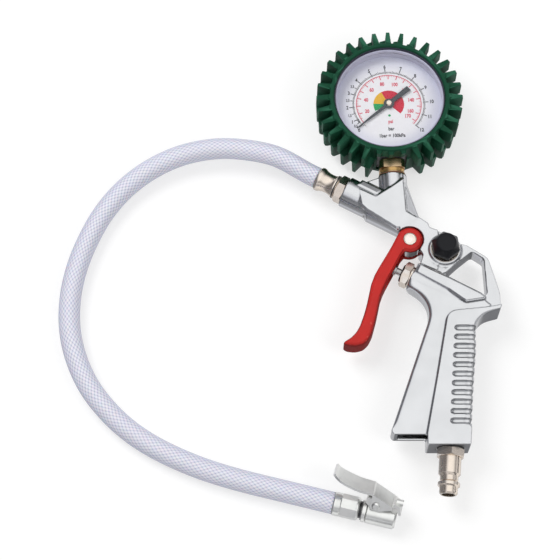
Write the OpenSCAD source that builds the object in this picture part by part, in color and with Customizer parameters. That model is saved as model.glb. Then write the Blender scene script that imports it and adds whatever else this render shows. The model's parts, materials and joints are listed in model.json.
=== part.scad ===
// Hand-held tyre inflator with a bottom-entry dial gauge, hose and clip-on chuck.
// Millimetres. It lies on its side on a table: +Z is up, Z = 0 is the table.
// Shapes are drawn about the pistol's middle plane and placed once, in place().

/* [Body] */
// half thickness of the pistol's side faces
body_half = 7.4; // [6:0.1:9]
// half thickness of the raised strip over the valve
rib_half = 8.4; // [8:0.1:9.5]
// half thickness of the palm block
palm_half = 9.5; // [8.8:0.1:11]
// half thickness of the rear frame and of the front web
frame_half = 6; // [5:0.1:6.8]
web_half = 6.9; // [6.5:0.1:7.2]
// wall around the hollow of the front web
web_wall = 2; // [1.5:0.1:3]
// clearance between pieces that are pushed or screwed together
seat_gap = 0.03; // [0.01:0.01:0.06]
// radial running clearance of pins and rods
run_gap = 0.06; // [0.02:0.01:0.1]
// gap between moving faces
free_gap = 0.35; // [0.3:0.05:0.6]

/* [Hose barrel] */
// barrel mouth, across
barrel_x = 37.1; // [35:0.1:40]
// barrel mouth, along
barrel_y = 53.5; // [50:0.1:56]
// slope of the barrel, degrees
barrel_slope = -28.5; // [-32:0.5:-25]
// radius at the mouth
barrel_r = 8.9; // [8.4:0.1:9.4]
// radius of the thick part
barrel_thick_r = 10.2; // [9.6:0.1:11]
// length down to the lever
barrel_len = 40; // [36:0.5:42]
// thread socket radius
barrel_bore_r = 5.8; // [5:0.1:6.5]
// thread socket depth
barrel_bore_len = 11; // [9:0.5:12]

/* [Grip grooves] */
// number of finger grooves on each side
groove_count = 11; // [5:1:11]
// spacing of the grooves
groove_pitch = 5.27; // [5:0.01:5.5]
// groove radius
groove_r = 1.35; // [1:0.05:1.6]
// first groove's place along the grip
groove_top = -31.2; // [-32:0.1:-30]
// inner end of the first groove
groove_x = 96.9; // [95:0.1:100]
// shift of the inner end from groove to groove
groove_shift = -0.4; // [-0.6:0.05:0]

/* [Lever] */
// pivot, across
hub_x = 72.3; // [70:0.1:75]
// pivot, along
hub_y = 21.7; // [20:0.1:24]
// ear radius
ear_r = 7.4; // [6.8:0.1:8]
// ear thickness
ear_t = 2.8; // [2:0.1:3]
// radius of the body's boss between the ears
hub_r = 6.6; // [5.5:0.1:7]
// pivot pin radius
pin_r = 3.5; // [2.5:0.1:4]
// thickness of the lever's front wall
lever_wall = 3; // [2.4:0.1:3.4]
// edge rounding of the lever
lever_round = 1.6; // [0.8:0.1:2]

/* [Valve] */
// gland face, across
valve_x = 72.5; // [71:0.1:74]
// gland face, along
valve_y = 1.85; // [1:0.05:3]
// slope of the valve, degrees
valve_slope = -25; // [-28:0.5:-22]
// radius of the cast valve barrel
valve_r = 8.25; // [7.8:0.05:8.3]
// thread socket radius and depth
gland_bore_r = 6; // [5.5:0.1:6.4]
gland_bore_len = 9; // [8:0.5:10]
// chamber radius and the depth of its end
chamber_r = 4.6; // [4.2:0.1:5]
chamber_end = 32; // [30:0.5:33]
// hexagon of the gland across flats, and its height
gland_flats = 13; // [12:0.5:13.5]
gland_head = 4.6; // [4:0.1:5]
// valve rod radius
rod_r = 1.95; // [1.5:0.05:2.2]
// how far the rod stands out of the gland face
rod_out = 13.9; // [13:0.1:14.2]
// depth of the seat's sealing edge
seat_depth = 18; // [17:0.5:19]

/* [Air release button] */
// button, across
button_x = 91.5; // [90:0.1:93]
// button, along
button_y = 15.2; // [14:0.1:16]
// cast boss radius at its foot and top, and its height over the middle plane
boss_foot_r = 9.7; // [9:0.1:10.5]
boss_top_r = 8.6; // [8.2:0.1:9]
boss_top = 8.6; // [8.2:0.1:9.4]
// bore for the collar
collar_bore_r = 5.2; // [4.8:0.1:5.6]
collar_bore_end = -4; // [-5:0.1:-3]
// collar neck radius
collar_neck_r = 5.6; // [5.4:0.1:6]
// button across flats and travel
button_flats = 14.6; // [13.5:0.1:15]
button_travel = 1.6; // [1:0.1:1.8]

/* [Inlet] */
// inlet face, across
inlet_x = 91.6; // [90:0.1:93]
// inlet face, along
inlet_y = -97; // [-99:0.5:-95]
// tilt of the inlet, degrees
inlet_tilt = 5; // [0:0.5:7]
// thread socket radius and depth
inlet_bore_r = 6.2; // [5.7:0.1:6.5]
inlet_bore_len = 12; // [10:0.5:14]
// depth of the flat face for the seal
inlet_spot = 0.7; // [0.6:0.1:1]
// air way radius through the grip
airway_r = 3.2; // [2.5:0.1:3.5]
// coupling plug: groove, ring and tip radii
plug_shaft_r = 6; // [5.5:0.05:6.2]
plug_neck_r = 4.9; // [4.5:0.05:5]
plug_ring_r = 6; // [5.6:0.05:6.2]
plug_tip_r = 4.95; // [4.6:0.05:5.2]
plug_bore_r = 3.6; // [3:0.05:3.8]

/* [Gauge] */
// gauge centre, across
gauge_x = 62.4; // [60:0.1:65]
// gauge centre, along
gauge_y = 105.6; // [104:0.1:108]
// turn of the gauge about its centre, degrees
gauge_turn = 1.8; // [0:0.1:3]
// case radius, wall and back
case_r = 33.5; // [32.5:0.1:34]
case_wall = 1; // [0.8:0.1:1.4]
case_back = 12.3; // [12:0.1:13]
// height of the dial's top face over the middle plane
dial_top = 6; // [5.5:0.1:6.5]
// height of the window's underside
window_low = 10.6; // [10:0.1:11.5]
window_t = 1.6; // [1.2:0.1:2]
// rim that hides the edge of the window
window_rim = 1.9; // [1.5:0.1:3]
// centre to the foot of the socket
socket_drop = 43.2; // [42.5:0.1:44]
// socket thread radius and length
socket_r = 6.1; // [5.6:0.1:6.4]
socket_len = 10; // [8:0.5:11]
// socket radius where it passes the case wall
neck_r = 5.1; // [4.5:0.1:5.1]
// gasket under the socket
gasket_t = 0.7; // [0.5:0.1:1]
// width of the wrench block
socket_w = 14.2; // [13:0.1:15]

/* [Rubber boot] */
// rubber over the case, between the treads
boot_wall = 1.8; // [1.4:0.1:2.5]
// height of the treads
tread_depth = 6.5; // [5:0.1:8]
// number of treads round a full circle
tread_count = 32; // [24:2:36]
// back wall and front of the boot
boot_back_t = 1.3; // [1:0.1:2]
boot_front = 16.6; // [16:0.1:17.5]
// width of the opening for the socket
boot_notch_w = 17; // [16:0.5:18]

/* [Dial] */
// radius of the bar scale line
bar_r = 20.2; // [19:0.1:21]
// tick lengths
tick_long = 2.6; // [2:0.1:3]
tick_short = 1.1; // [0.8:0.1:1.5]
// radius of the psi line
psi_r = 18.6; // [18:0.1:19]
// radius of the coloured sectors
sector_r = 8.8; // [8:0.1:9.5]
// thickness of the printed layers
ink_t = 0.1; // [0.08:0.01:0.15]
// direction of the zero stop and of the 1 bar mark, degrees
dial_zero = 218.5; // [210:0.1:225]
dial_one = 206.5; // [200:0.1:210]
// degrees of dial for each bar above 1 bar, and the last mark
bar_step = 22.7; // [22:0.1:24]
bar_max = 12; // [12:1:12]
// 1 bar in psi
psi_in_bar = 14.504; // [14.5:0.001:14.51]
// pointer: tip and tail from the arbor
pointer_tip = 24; // [20:0.1:26]
pointer_tail = 13.3; // [10:0.1:15]

/* [Gauge movement] */
// pinion teeth, and teeth on a full circle of the sector
pinion_teeth = 12; // [12:1:12]
sector_teeth = 72; // [72:1:72]
// gear module
gear_module = 0.35; // [0.33:0.01:0.36]
// arbor radius
arbor_r = 0.6; // [0.5:0.05:0.8]
// tube centre radius, width and thickness
tube_ring_r = 25; // [24:0.1:26]
tube_w = 8.4; // [7:0.1:9]
tube_t = 2.2; // [1.8:0.1:2.6]
// where the tube leaves its block, degrees under the horizontal
tube_from = 70.4; // [66:0.1:70.4]

/* [Hose] */
// hose radius
hose_r = 6; // [5.5:0.1:6.5]
// hose wall bore, at its ends only
hose_bore_r = 3.2; // [2.5:0.1:3.5]
// reach of the ferrule out of the fitting's hexagon
ferrule_len = 12.5; // [11:0.5:14]
// hexagon of the hose fitting across flats, and its height
fitting_flats = 14; // [13:0.5:15]
fitting_head = 5; // [4:0.5:6]

/* [Chuck] */
// end of the hose, across
chuck_x = 28.5; // [27:0.1:30]
// end of the hose, along
chuck_y = -125; // [-127:0.1:-123]
// axis height from the middle plane
chuck_z = -7; // [-7:0.1:-6]
// direction and roll of the chuck, degrees
chuck_slope = -13.8; // [-16:0.1:-10]
chuck_roll = 47; // [40:1:55]
// chuck body radius and its ends along the axis
chuck_r = 6.4; // [6:0.1:6.5]
chuck_from = 18; // [17:0.1:19]
chuck_to = 34.4; // [33.5:0.1:35]
// mouth for the tyre valve, and the pocket of its seal behind it
mouth_r = 4.2; // [4.05:0.05:4.4]
mouth_len = 4.8; // [4:0.1:6]
seal_r = 4; // [3.95:0.01:4.05]
seal_t = 4; // [3:0.1:5]
// rivet of the clip lever: along, over the axis, radius
rivet_u = 22.5; // [22:0.1:23]
rivet_v = 8.4; // [8:0.1:9]
rivet_r = 1.5; // [1.2:0.1:1.8]
// clip lever width and plate thickness
clip_w = 13; // [12:0.1:13.5]
clip_t = 1.3; // [1:0.1:1.6]

/* [Hidden] */
$fn = 48;
e = 0.01;
hub = [hub_x, hub_y];
rest_z = case_back + boot_back_t;
window_r = case_r - window_rim;
boot_core_r = case_r + boot_wall;
boot_tip_r = boot_core_r + tread_depth;
beak_x = 121.7;
mid_x = (gauge_x - boot_tip_r + beak_x) / 2;
plug_len = 25.4;
mid_y = (gauge_y + boot_tip_r + inlet_y - plug_len * cos(inlet_tilt)) / 2;
ear_in = body_half + 0.1 - ear_t;
rod_travel = 2.4;

// ---- helpers ----
function arc(c, r, a, b, n) = [for (k = [0 : n]) c + r * [cos(a + (b - a) * k / n),
    sin(a + (b - a) * k / n)]];
function turned(a) = a > 180 ? a - 360 : a < -180 ? a + 360 : a;
function corner(a, b, c, r) = r <= 0 ? [b] :
    let (u = (a - b) / norm(a - b), v = (c - b) / norm(c - b), h = acos(u * v) / 2,
        m = (u + v) / norm(u + v), o = b + m * r / sin(h),
        s = b + u * r / tan(h) - o, t = b + v * r / tan(h) - o,
        a0 = atan2(s[1], s[0]), d = turned(atan2(t[1], t[0]) - a0), n = max(1, ceil(abs(d) / 13)))
    arc(o, r, a0, a0 + d, n);
// corners given as [x, y, radius], anticlockwise
function outline(p) = let (n = len(p)) [for (i = [0 : n - 1])
    each corner([p[(i + n - 1) % n][0], p[(i + n - 1) % n][1]], [p[i][0], p[i][1]],
        [p[(i + 1) % n][0], p[(i + 1) % n][1]], p[i][2])];
function side_of(p, q) = [q[1] - p[1], p[0] - q[0]] / norm(q - p);
function inset(p, w) = let (n = len(p)) [for (i = [0 : n - 1])
    let (s = side_of(p[(i + n - 1) % n], p[i]), t = side_of(p[i], p[(i + 1) % n]))
    p[i] - w * (s + t) / (1 + s * t)];
function at_z(p, z) = [for (q = p) [q[0], q[1], z]];
function edge_steps(h, w) = [[-h, w], [-h + w, 0], [h - w, 0], [h, w]];

module loft(rings, split = false) {
    n = len(rings[0]);
    m = len(rings);
    polyhedron(points = [for (r = rings) each r], faces = concat(
        [[for (i = [0 : n - 1]) i]],
        split ? [for (j = [0 : m - 2], i = [0 : n - 1]) each [
            [j * n + i, j * n + n + i, j * n + n + (i + 1) % n],
            [j * n + i, j * n + n + (i + 1) % n, j * n + (i + 1) % n]]]
        : [for (j = [0 : m - 2], i = [0 : n - 1])
            [j * n + i, j * n + n + i, j * n + n + (i + 1) % n, j * n + (i + 1) % n]],
        [[for (i = [n - 1 : -1 : 0]) (m - 1) * n + i]]));
}
// flat piece with bevelled edges, symmetric about the middle plane
module slab(p, h, w) {
    loft([for (s = edge_steps(h, w)) at_z(inset(p, s[1]), s[0])]);
}
module plate(p, h) {
    translate([0, 0, -h]) linear_extrude(2 * h) polygon(p);
}
// local +Z runs from a point of the middle plane along a direction in that plane
module along(x, y, a) {
    translate([x, y, 0]) rotate([0, 0, a]) rotate([0, 90, 0]) children();
}
module rod(z0, z1, r) {
    translate([0, 0, z0]) cylinder(h = z1 - z0, r = r);
}
module ring(z0, z1, ro, ri) {
    difference() {
        rod(z0, z1, ro);
        rod(z0 - 1, z1 + 1, ri);
    }
}
module hex(z0, z1, flats) {
    translate([0, 0, z0]) cylinder(h = z1 - z0, r = flats / sqrt(3), $fn = 6);
}
// hexagon whose ends are chamfered by a cone
module nut(z0, z1, flats) {
    intersection() {
        hex(z0, z1, flats);
        union() {
            translate([0, 0, z0]) cylinder(h = 0.8, r1 = flats / 2 - 0.2, r2 = flats / sqrt(3) + 0.1);
            rod(z0 + 0.8 - e, z1 - 0.8 + e, flats / sqrt(3) + 0.1);
            translate([0, 0, z1 - 0.8]) cylinder(h = 0.8, r2 = flats / 2 - 0.2, r1 = flats / sqrt(3) + 0.1);
        }
    }
}
function unit(v) = v / norm(v);
function tangent(p, i) = unit(p[min(i + 1, len(p) - 1)] - p[max(i - 1, 0)]);
// round tube along a path that never runs straight up
function tube_rings(p, r, k) = [for (i = [0 : len(p) - 1])
    let (t = tangent(p, i), u = unit(cross(t, [0, 0, 1])), v = cross(t, u))
    [for (j = [0 : k - 1]) p[i] + r * (cos(360 * j / k) * u + sin(360 * j / k) * v)]];
module tube(p, r, k) { loft(tube_rings(p, r, k), true); }
// coil about local Z: one curl is eight steps of a six-sided wire
function coil_path(r, z0, z1, turns) = [for (i = [0 : turns * 8])
    [r * cos(45 * i), r * sin(45 * i), z0 + (z1 - z0) * i / (turns * 8)]];
module coil(r, wire, z0, z1, turns) {
    tube(coil_path(r, z0 + wire, z1 - wire, turns), wire, 6);
}

module place() { translate([-mid_x, -mid_y, rest_z]) children(); }
module at_barrel() { along(barrel_x, barrel_y, barrel_slope) children(); }
module at_valve() { along(valve_x, valve_y, valve_slope) children(); }
module at_button() { translate([button_x, button_y, 0]) children(); }
// local +Z points down and out of the grip
module at_inlet() { along(inlet_x, inlet_y, -90 - inlet_tilt) children(); }
module at_gauge() { translate([gauge_x, gauge_y, 0]) rotate([0, 0, gauge_turn]) children(); }
// local +Z runs from the gauge's centre down its stem
module at_stem() { at_gauge() along(0, 0, -90) children(); }
// local X along the chuck, local Y towards its clip lever, local Z along its rivet
module at_chuck() {
    translate([chuck_x, chuck_y, chuck_z]) rotate([0, 0, chuck_slope]) rotate([chuck_roll, 0,
        0]) children();
}
module on_chuck_axis() { at_chuck() rotate([0, 90, 0]) children(); }
// local +Z points from the chuck's axis to the thumb end of the clip lever
module on_clip_spring() { at_chuck() translate([rivet_u - 3.4, 0, 0]) rotate([-90, 0, 0]) children(); }
spring_low = rivet_v + 0.8;
seal_from = chuck_to - mouth_len - seal_t - 0.2;

// ---- body ----
panel_pts = outline([[44.4, 49.4, 0], [62.5, 39.2, 0], [67, 30, 0], [66.4, 24, 0], [66.6, 18, 4.5],
    [72.3, 14.6, 3], [76.4, 17.6, 2], [79.4, 12.4, 2.2], [77.4, 6.4, 0], [79, 3, 0], [86, -1, 0],
    [88, 8, 0], [88, 27.3, 0], [83.4, 28.9, 0], [82.7, 31.5, 0], [78.8, 34.3, 0], [71.2, 38.6, 0],
    [69.9, 59, 0], [68.6, 58.4, 0], [61.9, 53.4, 0], [53.6, 47.9, 0], [43.7, 52.9, 0]]);
rear_pts = outline([[81.5, 2, 0], [84, -12, 0], [92, -25, 0], [106, -26, 0], [119, -18.6, 0],
    [121.3, -17.6, 2], [121.2, -9.8, 14], [118.5, 0.5, 24], [115.4, 11, 6], [103.8, 18.6, 6],
    [99.4, 19.6, 5], [96, 24, 2.5], [84.4, 28.4, 0]]);
window_pts = outline([[91.4, 1.6, 1], [91.9, -1.5, 1.2], [110.6, -11.4, 1], [113.5, -10.1, 1.2],
    [112.6, 10.2, 2.2], [106.7, 14.2, 1.4]]);
web_pts = outline([[60.9, -90.7, 0], [84, -90.7, 0], [92, -40, 0], [98, -25, 0], [94, -8, 0],
    [80, -1, 0], [72.5, -1.5, 0], [70.2, -5.6, 0], [84.9, -15.3, 15.5], [59.4, -88.9, 1.6]]);
hollow_pts = outline([[60.4 + web_wall, -92, 1.6], [81.6 - web_wall, -92, 0], [86.5 - web_wall, -50, 2],
    [86, -34, 1.6], [81.4, -34, 1.6]]);
palm_pts = outline([[78.4, -97, 0], [101.8, -97, 0], [102.9, -84, 0], [104.8, -62, 0],
    [106.9, -41, 0], [106.9, -28.5, 7], [112.2, -22.9, 9], [120.9, -19.8, 0], [121.7, -17.4, 0],
    [113.6, -19, 20], [92, -21.2, 6.5], [85, -58.3, 60], [78.6, -90.5, 0]]);
rib_pts = outline([[73.9, 1.1, 0], [82.6, -3.4, 0], [92.3, -9, 0], [98.8, -13.9, 4],
    [102, -16.1, 3], [112.3, -14.4, 1], [113.2, -12.8, 1], [110.5, -10.4, 0], [92.9, -0.9, 0], [76.4,
        7, 0]]);

module frame_window() {
    loft([for (s = [[-11, 2.1], [-5, 0.35], [0, 0], [5, 0.35], [11, 2.1]])
        at_z(inset(window_pts, -s[1]), s[0])]);
}
module groove(n, side) {
    y = groove_top - n * groove_pitch;
    x = groove_x + n * groove_shift;
    translate([x, y, side * (palm_half + 0.15)]) {
        rotate([0, 90, 0]) cylinder(h = 18, r = groove_r);
        rotate([0, -90, 0]) cylinder(h = 1, r1 = groove_r, r2 = 0.5);
    }
}
module body_cast() {
    plate(panel_pts, body_half);
    plate(rear_pts, frame_half);
    plate(web_pts, web_half);
    plate(palm_pts, palm_half);
    plate(rib_pts, rib_half);
    at_barrel() rod(0, 16, barrel_r);
    intersection() {
        at_barrel() rod(6, barrel_len, barrel_thick_r);
        plate([[43.2, 59], [48.2, 36.5], [47.5, 28], [66, 18], [74, 34], [56, 56]], body_half - 0.15);
    }
    intersection() {
        at_valve() rod(0, 30, valve_r);
        plate([[60, -20], [110, -40], [110, 10], [80, 12]], valve_r - 0.1);
    }
    translate([hub_x, hub_y, 0]) rod(-ear_in + free_gap, ear_in - free_gap, hub_r);
    // gauge boss and the thin webs beside it
    at_stem() rod(socket_drop, socket_drop + 17, barrel_r - 0.7);
    plate([[44.6, 52], [46.6, 57.6], [54.6, 60.6], [57, 61.5], [64, 50], [53.6, 46]], 3);
    hull() {
        plate([[45.2, 53], [46.6, 57.4], [56.6, 51.4], [53.6, 48]], 3.2);
        plate([[44.2, 52], [44.6, 52.4], [53.6, 47.8], [53.2, 47.2]], body_half - 0.5);
    }
    hull() {
        plate([[69, 59.3], [71.2, 59.3], [78.8, 34.5], [70, 38]], 2.4);
        plate([[68, 57.9], [69.2, 58.4], [70.6, 38.8], [69, 38]], body_half - 0.4);
    }
    // button boss on the front, a lower one on the back
    at_button() {
        translate([0, 0, body_half - 1.6]) cylinder(h = boss_top - body_half + 1.6, r1 = boss_foot_r,
            r2 = boss_top_r);
        rod(-body_half - 0.5, 0, boss_top_r);
    }
}
module body() {
    color([0.8, 0.81, 0.82]) difference() {
        body_cast();
        frame_window();
        // hollow of the front web, open at the bottom
        plate(hollow_pts, web_half - web_wall);
        for (n = [0 : groove_count - 1], s = [-1, 1]) groove(n, s);
        // recesses for the lever's ears, and the pin bore
        for (s = [0, 1]) mirror([0, 0, s]) translate([hub_x, hub_y, 0])
            rod(ear_in - free_gap, body_half + 4, ear_r + 0.6);
        translate([hub_x, hub_y, 0]) rod(-20, 20, pin_r + seat_gap);
        // hose socket and its air way
        at_barrel() {
            rod(-1, barrel_bore_len, barrel_bore_r);
            rod(0, barrel_bore_len + 3, 2.5);
        }
        along(45, 49, -32) rod(0, 48, 2.5);
        // valve
        at_valve() {
            rod(-1, gland_bore_len, gland_bore_r);
            rod(0, chamber_end, chamber_r);
        }
        along(82.9, -3, 82.9) rod(0, 27, 2.2);
        // air release
        at_button() rod(collar_bore_end, 20, collar_bore_r);
        // inlet thread and air way up the grip
        at_inlet() {
            rod(-inlet_bore_len, 1, inlet_bore_r);
            rod(-88.5, 0, airway_r);
            rod(-inlet_spot, 4, 7.8);
        }
        // gauge thread and its drilling
        at_stem() {
            rod(socket_drop - 1, socket_drop + socket_len + 1, socket_r + seat_gap);
            rod(socket_drop, socket_drop + 25.5, 1.6);
        }
    }
}

// ---- inlet ----
module inlet_plug() {
    color([0.85, 0.83, 0.8]) at_inlet() difference() {
        union() {
            rod(-inlet_bore_len + 2, 1, inlet_bore_r - seat_gap);
            nut(0.3, 5, 14);
            rod(4.9, 14.2, plug_shaft_r);
            translate([0, 0, 14.2 - e]) cylinder(h = 1.2, r1 = plug_shaft_r, r2 = plug_neck_r);
            rod(15, 19, plug_neck_r);
            translate([0, 0, 18]) cylinder(h = 1, r1 = plug_neck_r, r2 = plug_ring_r);
            rod(19 - e, 20.6, plug_ring_r);
            translate([0, 0, 20.6 - e]) cylinder(h = 0.9, r1 = plug_ring_r, r2 = plug_tip_r);
            rod(21, 24.6, plug_tip_r);
            translate([0, 0, 24.6 - e]) cylinder(h = 0.8 + e, r1 = plug_tip_r, r2 = plug_tip_r - 0.6);
        }
        rod(-20, 30, plug_bore_r);
    }
}
module inlet_seal() {
    color([0.15, 0.15, 0.16]) at_inlet() ring(-inlet_spot + 0.02, 0.28, 7.2, inlet_bore_r + 0.05);
}

// ---- hose and its ends ----
module outlet_fitting() {
    color([0.85, 0.83, 0.8]) at_barrel() difference() {
        union() {
            rod(0, barrel_bore_len - 2, barrel_bore_r - seat_gap);
            nut(-fitting_head - 0.05, -0.05, fitting_flats);
            rod(-1, 1, barrel_bore_r - seat_gap);
            rod(-fitting_head - 2, -fitting_head, 4.6);
            rod(-fitting_head - ferrule_len + 1.5, -fitting_head, hose_bore_r - seat_gap);
        }
        rod(-40, 40, 2.1);
    }
}
module outlet_ferrule() {
    s = -fitting_head - 0.6;
    color([0.8, 0.79, 0.78]) at_barrel() difference() {
        rotate_extrude() polygon([[0, s], [6.1, s], [6.3, s - 0.5], [6.3, s - 1.6], [5.7, s - 2.6],
            [5.7, s - 3.6], [6.1, s - 4.3], [5.6, s - 5.2], [5.6, s - 6.2], [6, s - 7],
            [5.7, s - 8], [6, s - 9.2], [6.9, s - 10.6], [6.9, s - ferrule_len + 0.6], [0,
                s - ferrule_len + 0.6]]);
        rod(-fitting_head - 2 - seat_gap, 0, 4.6 + seat_gap);
        rod(-40, 0, hose_bore_r);
    }
}
// hose centre line past the ferrule, about the pistol's middle plane
barrel_way = [cos(barrel_slope), sin(barrel_slope), 0];
chuck_way = [cos(chuck_slope), sin(chuck_slope), 0];
hose_start = [barrel_x, barrel_y, 0] - (fitting_head + ferrule_len + 0.15) * barrel_way;
hose_end = [chuck_x, chuck_y, chuck_z];
floor_z = hose_r - rest_z;
hose_way = [hose_start + 6 * barrel_way, hose_start, hose_start - 7 * barrel_way,
    [-2, 75.6, -0.3], [-20, 80.3, -1.3], [-38, 81.4, -2.6], [-56.5, 78, -4.1], [-73.3, 70.3, -5.6],
    [-88, 58.8, -6.7], [-99.7, 44.1, -7.3], [-108.2, 27.3, floor_z], [-114.1, 9.7, floor_z],
    [-117, -8.6, floor_z], [-116.4, -26.8, floor_z], [-112, -44.1, floor_z],
    [-104.5, -59.7, floor_z], [-94.4, -72.9, floor_z], [-83.1, -83.7, floor_z],
    [-70.8, -92.3, floor_z], [-58.2, -99, floor_z], [-45.6, -104.5, floor_z],
    [-32.5, -109.1, floor_z], [-18, -113.3, floor_z], [-3, -117.1, floor_z + 0.2],
    hose_end - 9 * chuck_way, hose_end, hose_end + 8 * chuck_way];
function blend(a, b, c, d, t) = 0.5 * (2 * b + (c - a) * t + (2 * a - 5 * b + 4 * c - d) * t * t
    + (3 * b - a - 3 * c + d) * t * t * t);
hose_line = [for (i = [1 : len(hose_way) - 3], k = [0 : 2])
    blend(hose_way[i - 1], hose_way[i], hose_way[i + 1], hose_way[i + 2], k / 3), hose_end];
module hose() {
    color([0.85, 0.86, 0.93, 0.8]) tube(hose_line, hose_r, 12);
}

// ---- chuck ----
module chuck_ferrule() {
    color([0.75, 0.75, 0.76]) on_chuck_axis() difference() {
        union() {
            rotate_extrude() polygon([[0, 0.05], [5.9, 0.05], [6.4, 0.6], [6.4, 3.8], [5.9, 4.4], [0,
                4.4]]);
            rotate([0, 0, 22.5]) rod(4.3, 12.6, 6.5, $fn = 8);
            rotate_extrude() polygon([[0, 12.4], [6.3, 12.4], [6.3, 13.4], [5.5, 14.2], [0, 14.2]]);
        }
        rod(-1, 20, 3.4);
    }
}
module chuck_neck() {
    color([0.2, 0.2, 0.21]) on_chuck_axis() difference() {
        union() {
            rod(1, 14.6, 3.4 - seat_gap);
            rod(14.25, 15.4, 4.6);
            rod(15.4 - e, 17.9, 5.4);
            rod(17.8, 23, 3.6 - seat_gap);
        }
        rod(-1, 30, 1.9);
    }
}
module chuck_body() {
    color([0.72, 0.72, 0.73]) difference() {
        union() {
            on_chuck_axis() rotate_extrude() polygon([[0, chuck_from], [chuck_r - 0.6, chuck_from],
                [chuck_r, chuck_from + 0.6], [chuck_r, chuck_to - 1.2], [chuck_r - 1.2, chuck_to], [0,
                    chuck_to]]);
            // tab that carries the rivet
            at_chuck() translate([0, 0, -3.6]) linear_extrude(7.2) polygon(outline([[18.6, 3, 0],
                [29.5, 3, 0], [28.2, 7, 2], [rivet_u + 2.4, rivet_v + 2.2, 1.8], [16.8, rivet_v + 2.2, 0.6],
                [16.8, 7.4, 0.6], [18.6, 6, 0]]));
        }
        on_chuck_axis() {
            rod(17, 23.1, 3.6);
            rod(20, 40, 2.2);
            rod(seal_from, 40, seal_r);
            rod(chuck_to - mouth_len, 40, mouth_r);
        }
        at_chuck() translate([rivet_u, rivet_v, 0]) rod(-10, 10, rivet_r + seat_gap);
        // slot for the claw of the clip lever
        at_chuck() translate([chuck_to - 3.4, mouth_r + 0.5, -4.6]) cube([6, 6, 9.2]);
        // pocket for the clip spring
        on_clip_spring() rod(spring_low, 20, 1.65);
    }
}
module chuck_seal() {
    color([0.12, 0.12, 0.13]) on_chuck_axis() difference() {
        ring(seal_from + 0.02, seal_from + seal_t, seal_r - seat_gap, 2.4);
        translate([0, 0, seal_from + seal_t - 1]) cylinder(h = 1.2, r1 = 2.4, r2 = 3.4);
    }
}
module chuck_opener() {
    color([0.75, 0.65, 0.4]) on_chuck_axis() difference() {
        union() {
            rod(23.2, 24.6, 2.2 - seat_gap);
            rod(24.5, 29.1, 0.9);
        }
        for (a = [0, 120, 240]) rotate([0, 0, a]) translate([1.55, 0, 0]) rod(20, 26, 0.45);
    }
}
module chuck_rivet() {
    h = clip_w / 2;
    color([0.7, 0.7, 0.71]) at_chuck() translate([rivet_u, rivet_v, 0]) {
        rod(-h - 0.4, h + 0.4, rivet_r);
        for (s = [0, 1]) mirror([0, 0, s]) translate([0, 0, h + 0.08]) cylinder(h = 0.9, r1 = 2.3,
            r2 = 1.5);
    }
}
clip_top = [[-2, 21.6], [-0.4, 19.9], [1.6, 18.7], [4.2, 17.7], [7, 16.9], [10, 16], [13, 15.3],
    [15.6, 14.9], [18, 14.4], [20.4, 13.7], [24, 12.5], [28, 11.1], [31.4, 9.9]];
module chuck_lever() {
    h = clip_w / 2;
    n = len(clip_top);
    low = [for (i = [n - 1 : -1 : 0]) let (t = tangent(clip_top, i)) clip_top[i] + clip_t * [t[1], -t[0]]];
    color([0.74, 0.74, 0.75]) at_chuck() {
        difference() {
            union() {
                translate([0, 0, -h]) linear_extrude(2 * h) polygon(concat([for (i = [n - 1 : -1 : 0])
                    clip_top[i]],
                    [for (i = [n - 1 : -1 : 0]) low[i]]));
                // side ears
                for (s = [0, 1]) mirror([0, 0, s]) translate([0, 0, h - clip_t]) linear_extrude(clip_t)
                    polygon(outline([[18.4, 14, 0], [18.4, 10, 1], [20, 5.6, 2], [24.6, 5.4, 3], [31.4,
                        8, 1], [31.4, 9.6, 0]]));
            }
            // the thumb end is a little narrower and rounded
            for (s = [0, 1]) mirror([0, 0, s]) translate([-4, 8, h - 0.9]) rotate([0, 8, 0]) cube([16,
                16, 6]);
            translate([rivet_u, rivet_v, 0]) rod(-20, 20, rivet_r + run_gap);
        }
        // claw that grips the tyre valve, with its stop
        difference() {
            translate([0, 0, -4.2]) linear_extrude(8.4) polygon([[31, 10.6], [31, 9.2], [33.6, 8.2],
                [35.1, 4.6],
                [36.4, 4.7], [35, 9.2], [32, 10.9]]);
            rotate([0, 90, 0]) rod(20, 50, mouth_r + 0.3);
        }
        translate([33.4, 10, 0]) rotate([0, 90, 0]) rod(-0.8, 3, 1.8);
    }
}
module chuck_spring() {
    color([0.6, 0.6, 0.62]) on_clip_spring() coil(1.2, 0.3, spring_low + 0.05, rivet_v + 3.8, 3);
}

// ---- lever ----
left_edge = [[65.3, 24.2], [62.2, 18.1], [58.8, 12.1], [55.3, 6.2], [52.4, 1], [50.3, -4.4], [49.2, -9.4],
    [47.9, -15.4], [46.1, -22], [43.8, -28.6], [41.6, -32.6], [38.4, -35.9], [34.9, -38]];
right_edge = [[34.3, -39.3], [37, -40.6], [41.4, -41], [45.6, -39.9], [48.4, -37.2], [50.6, -32.8],
    [53, -24], [54.4, -17.5], [55.4, -12.6], [57.2, -7.6], [60.4, -1.2], [64.3, 6.4], [67.3, 12.2],
        [69.4, 14.8]];
lever_pts = concat(arc(hub, ear_r, -100, 158, 20), left_edge, right_edge);
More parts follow.
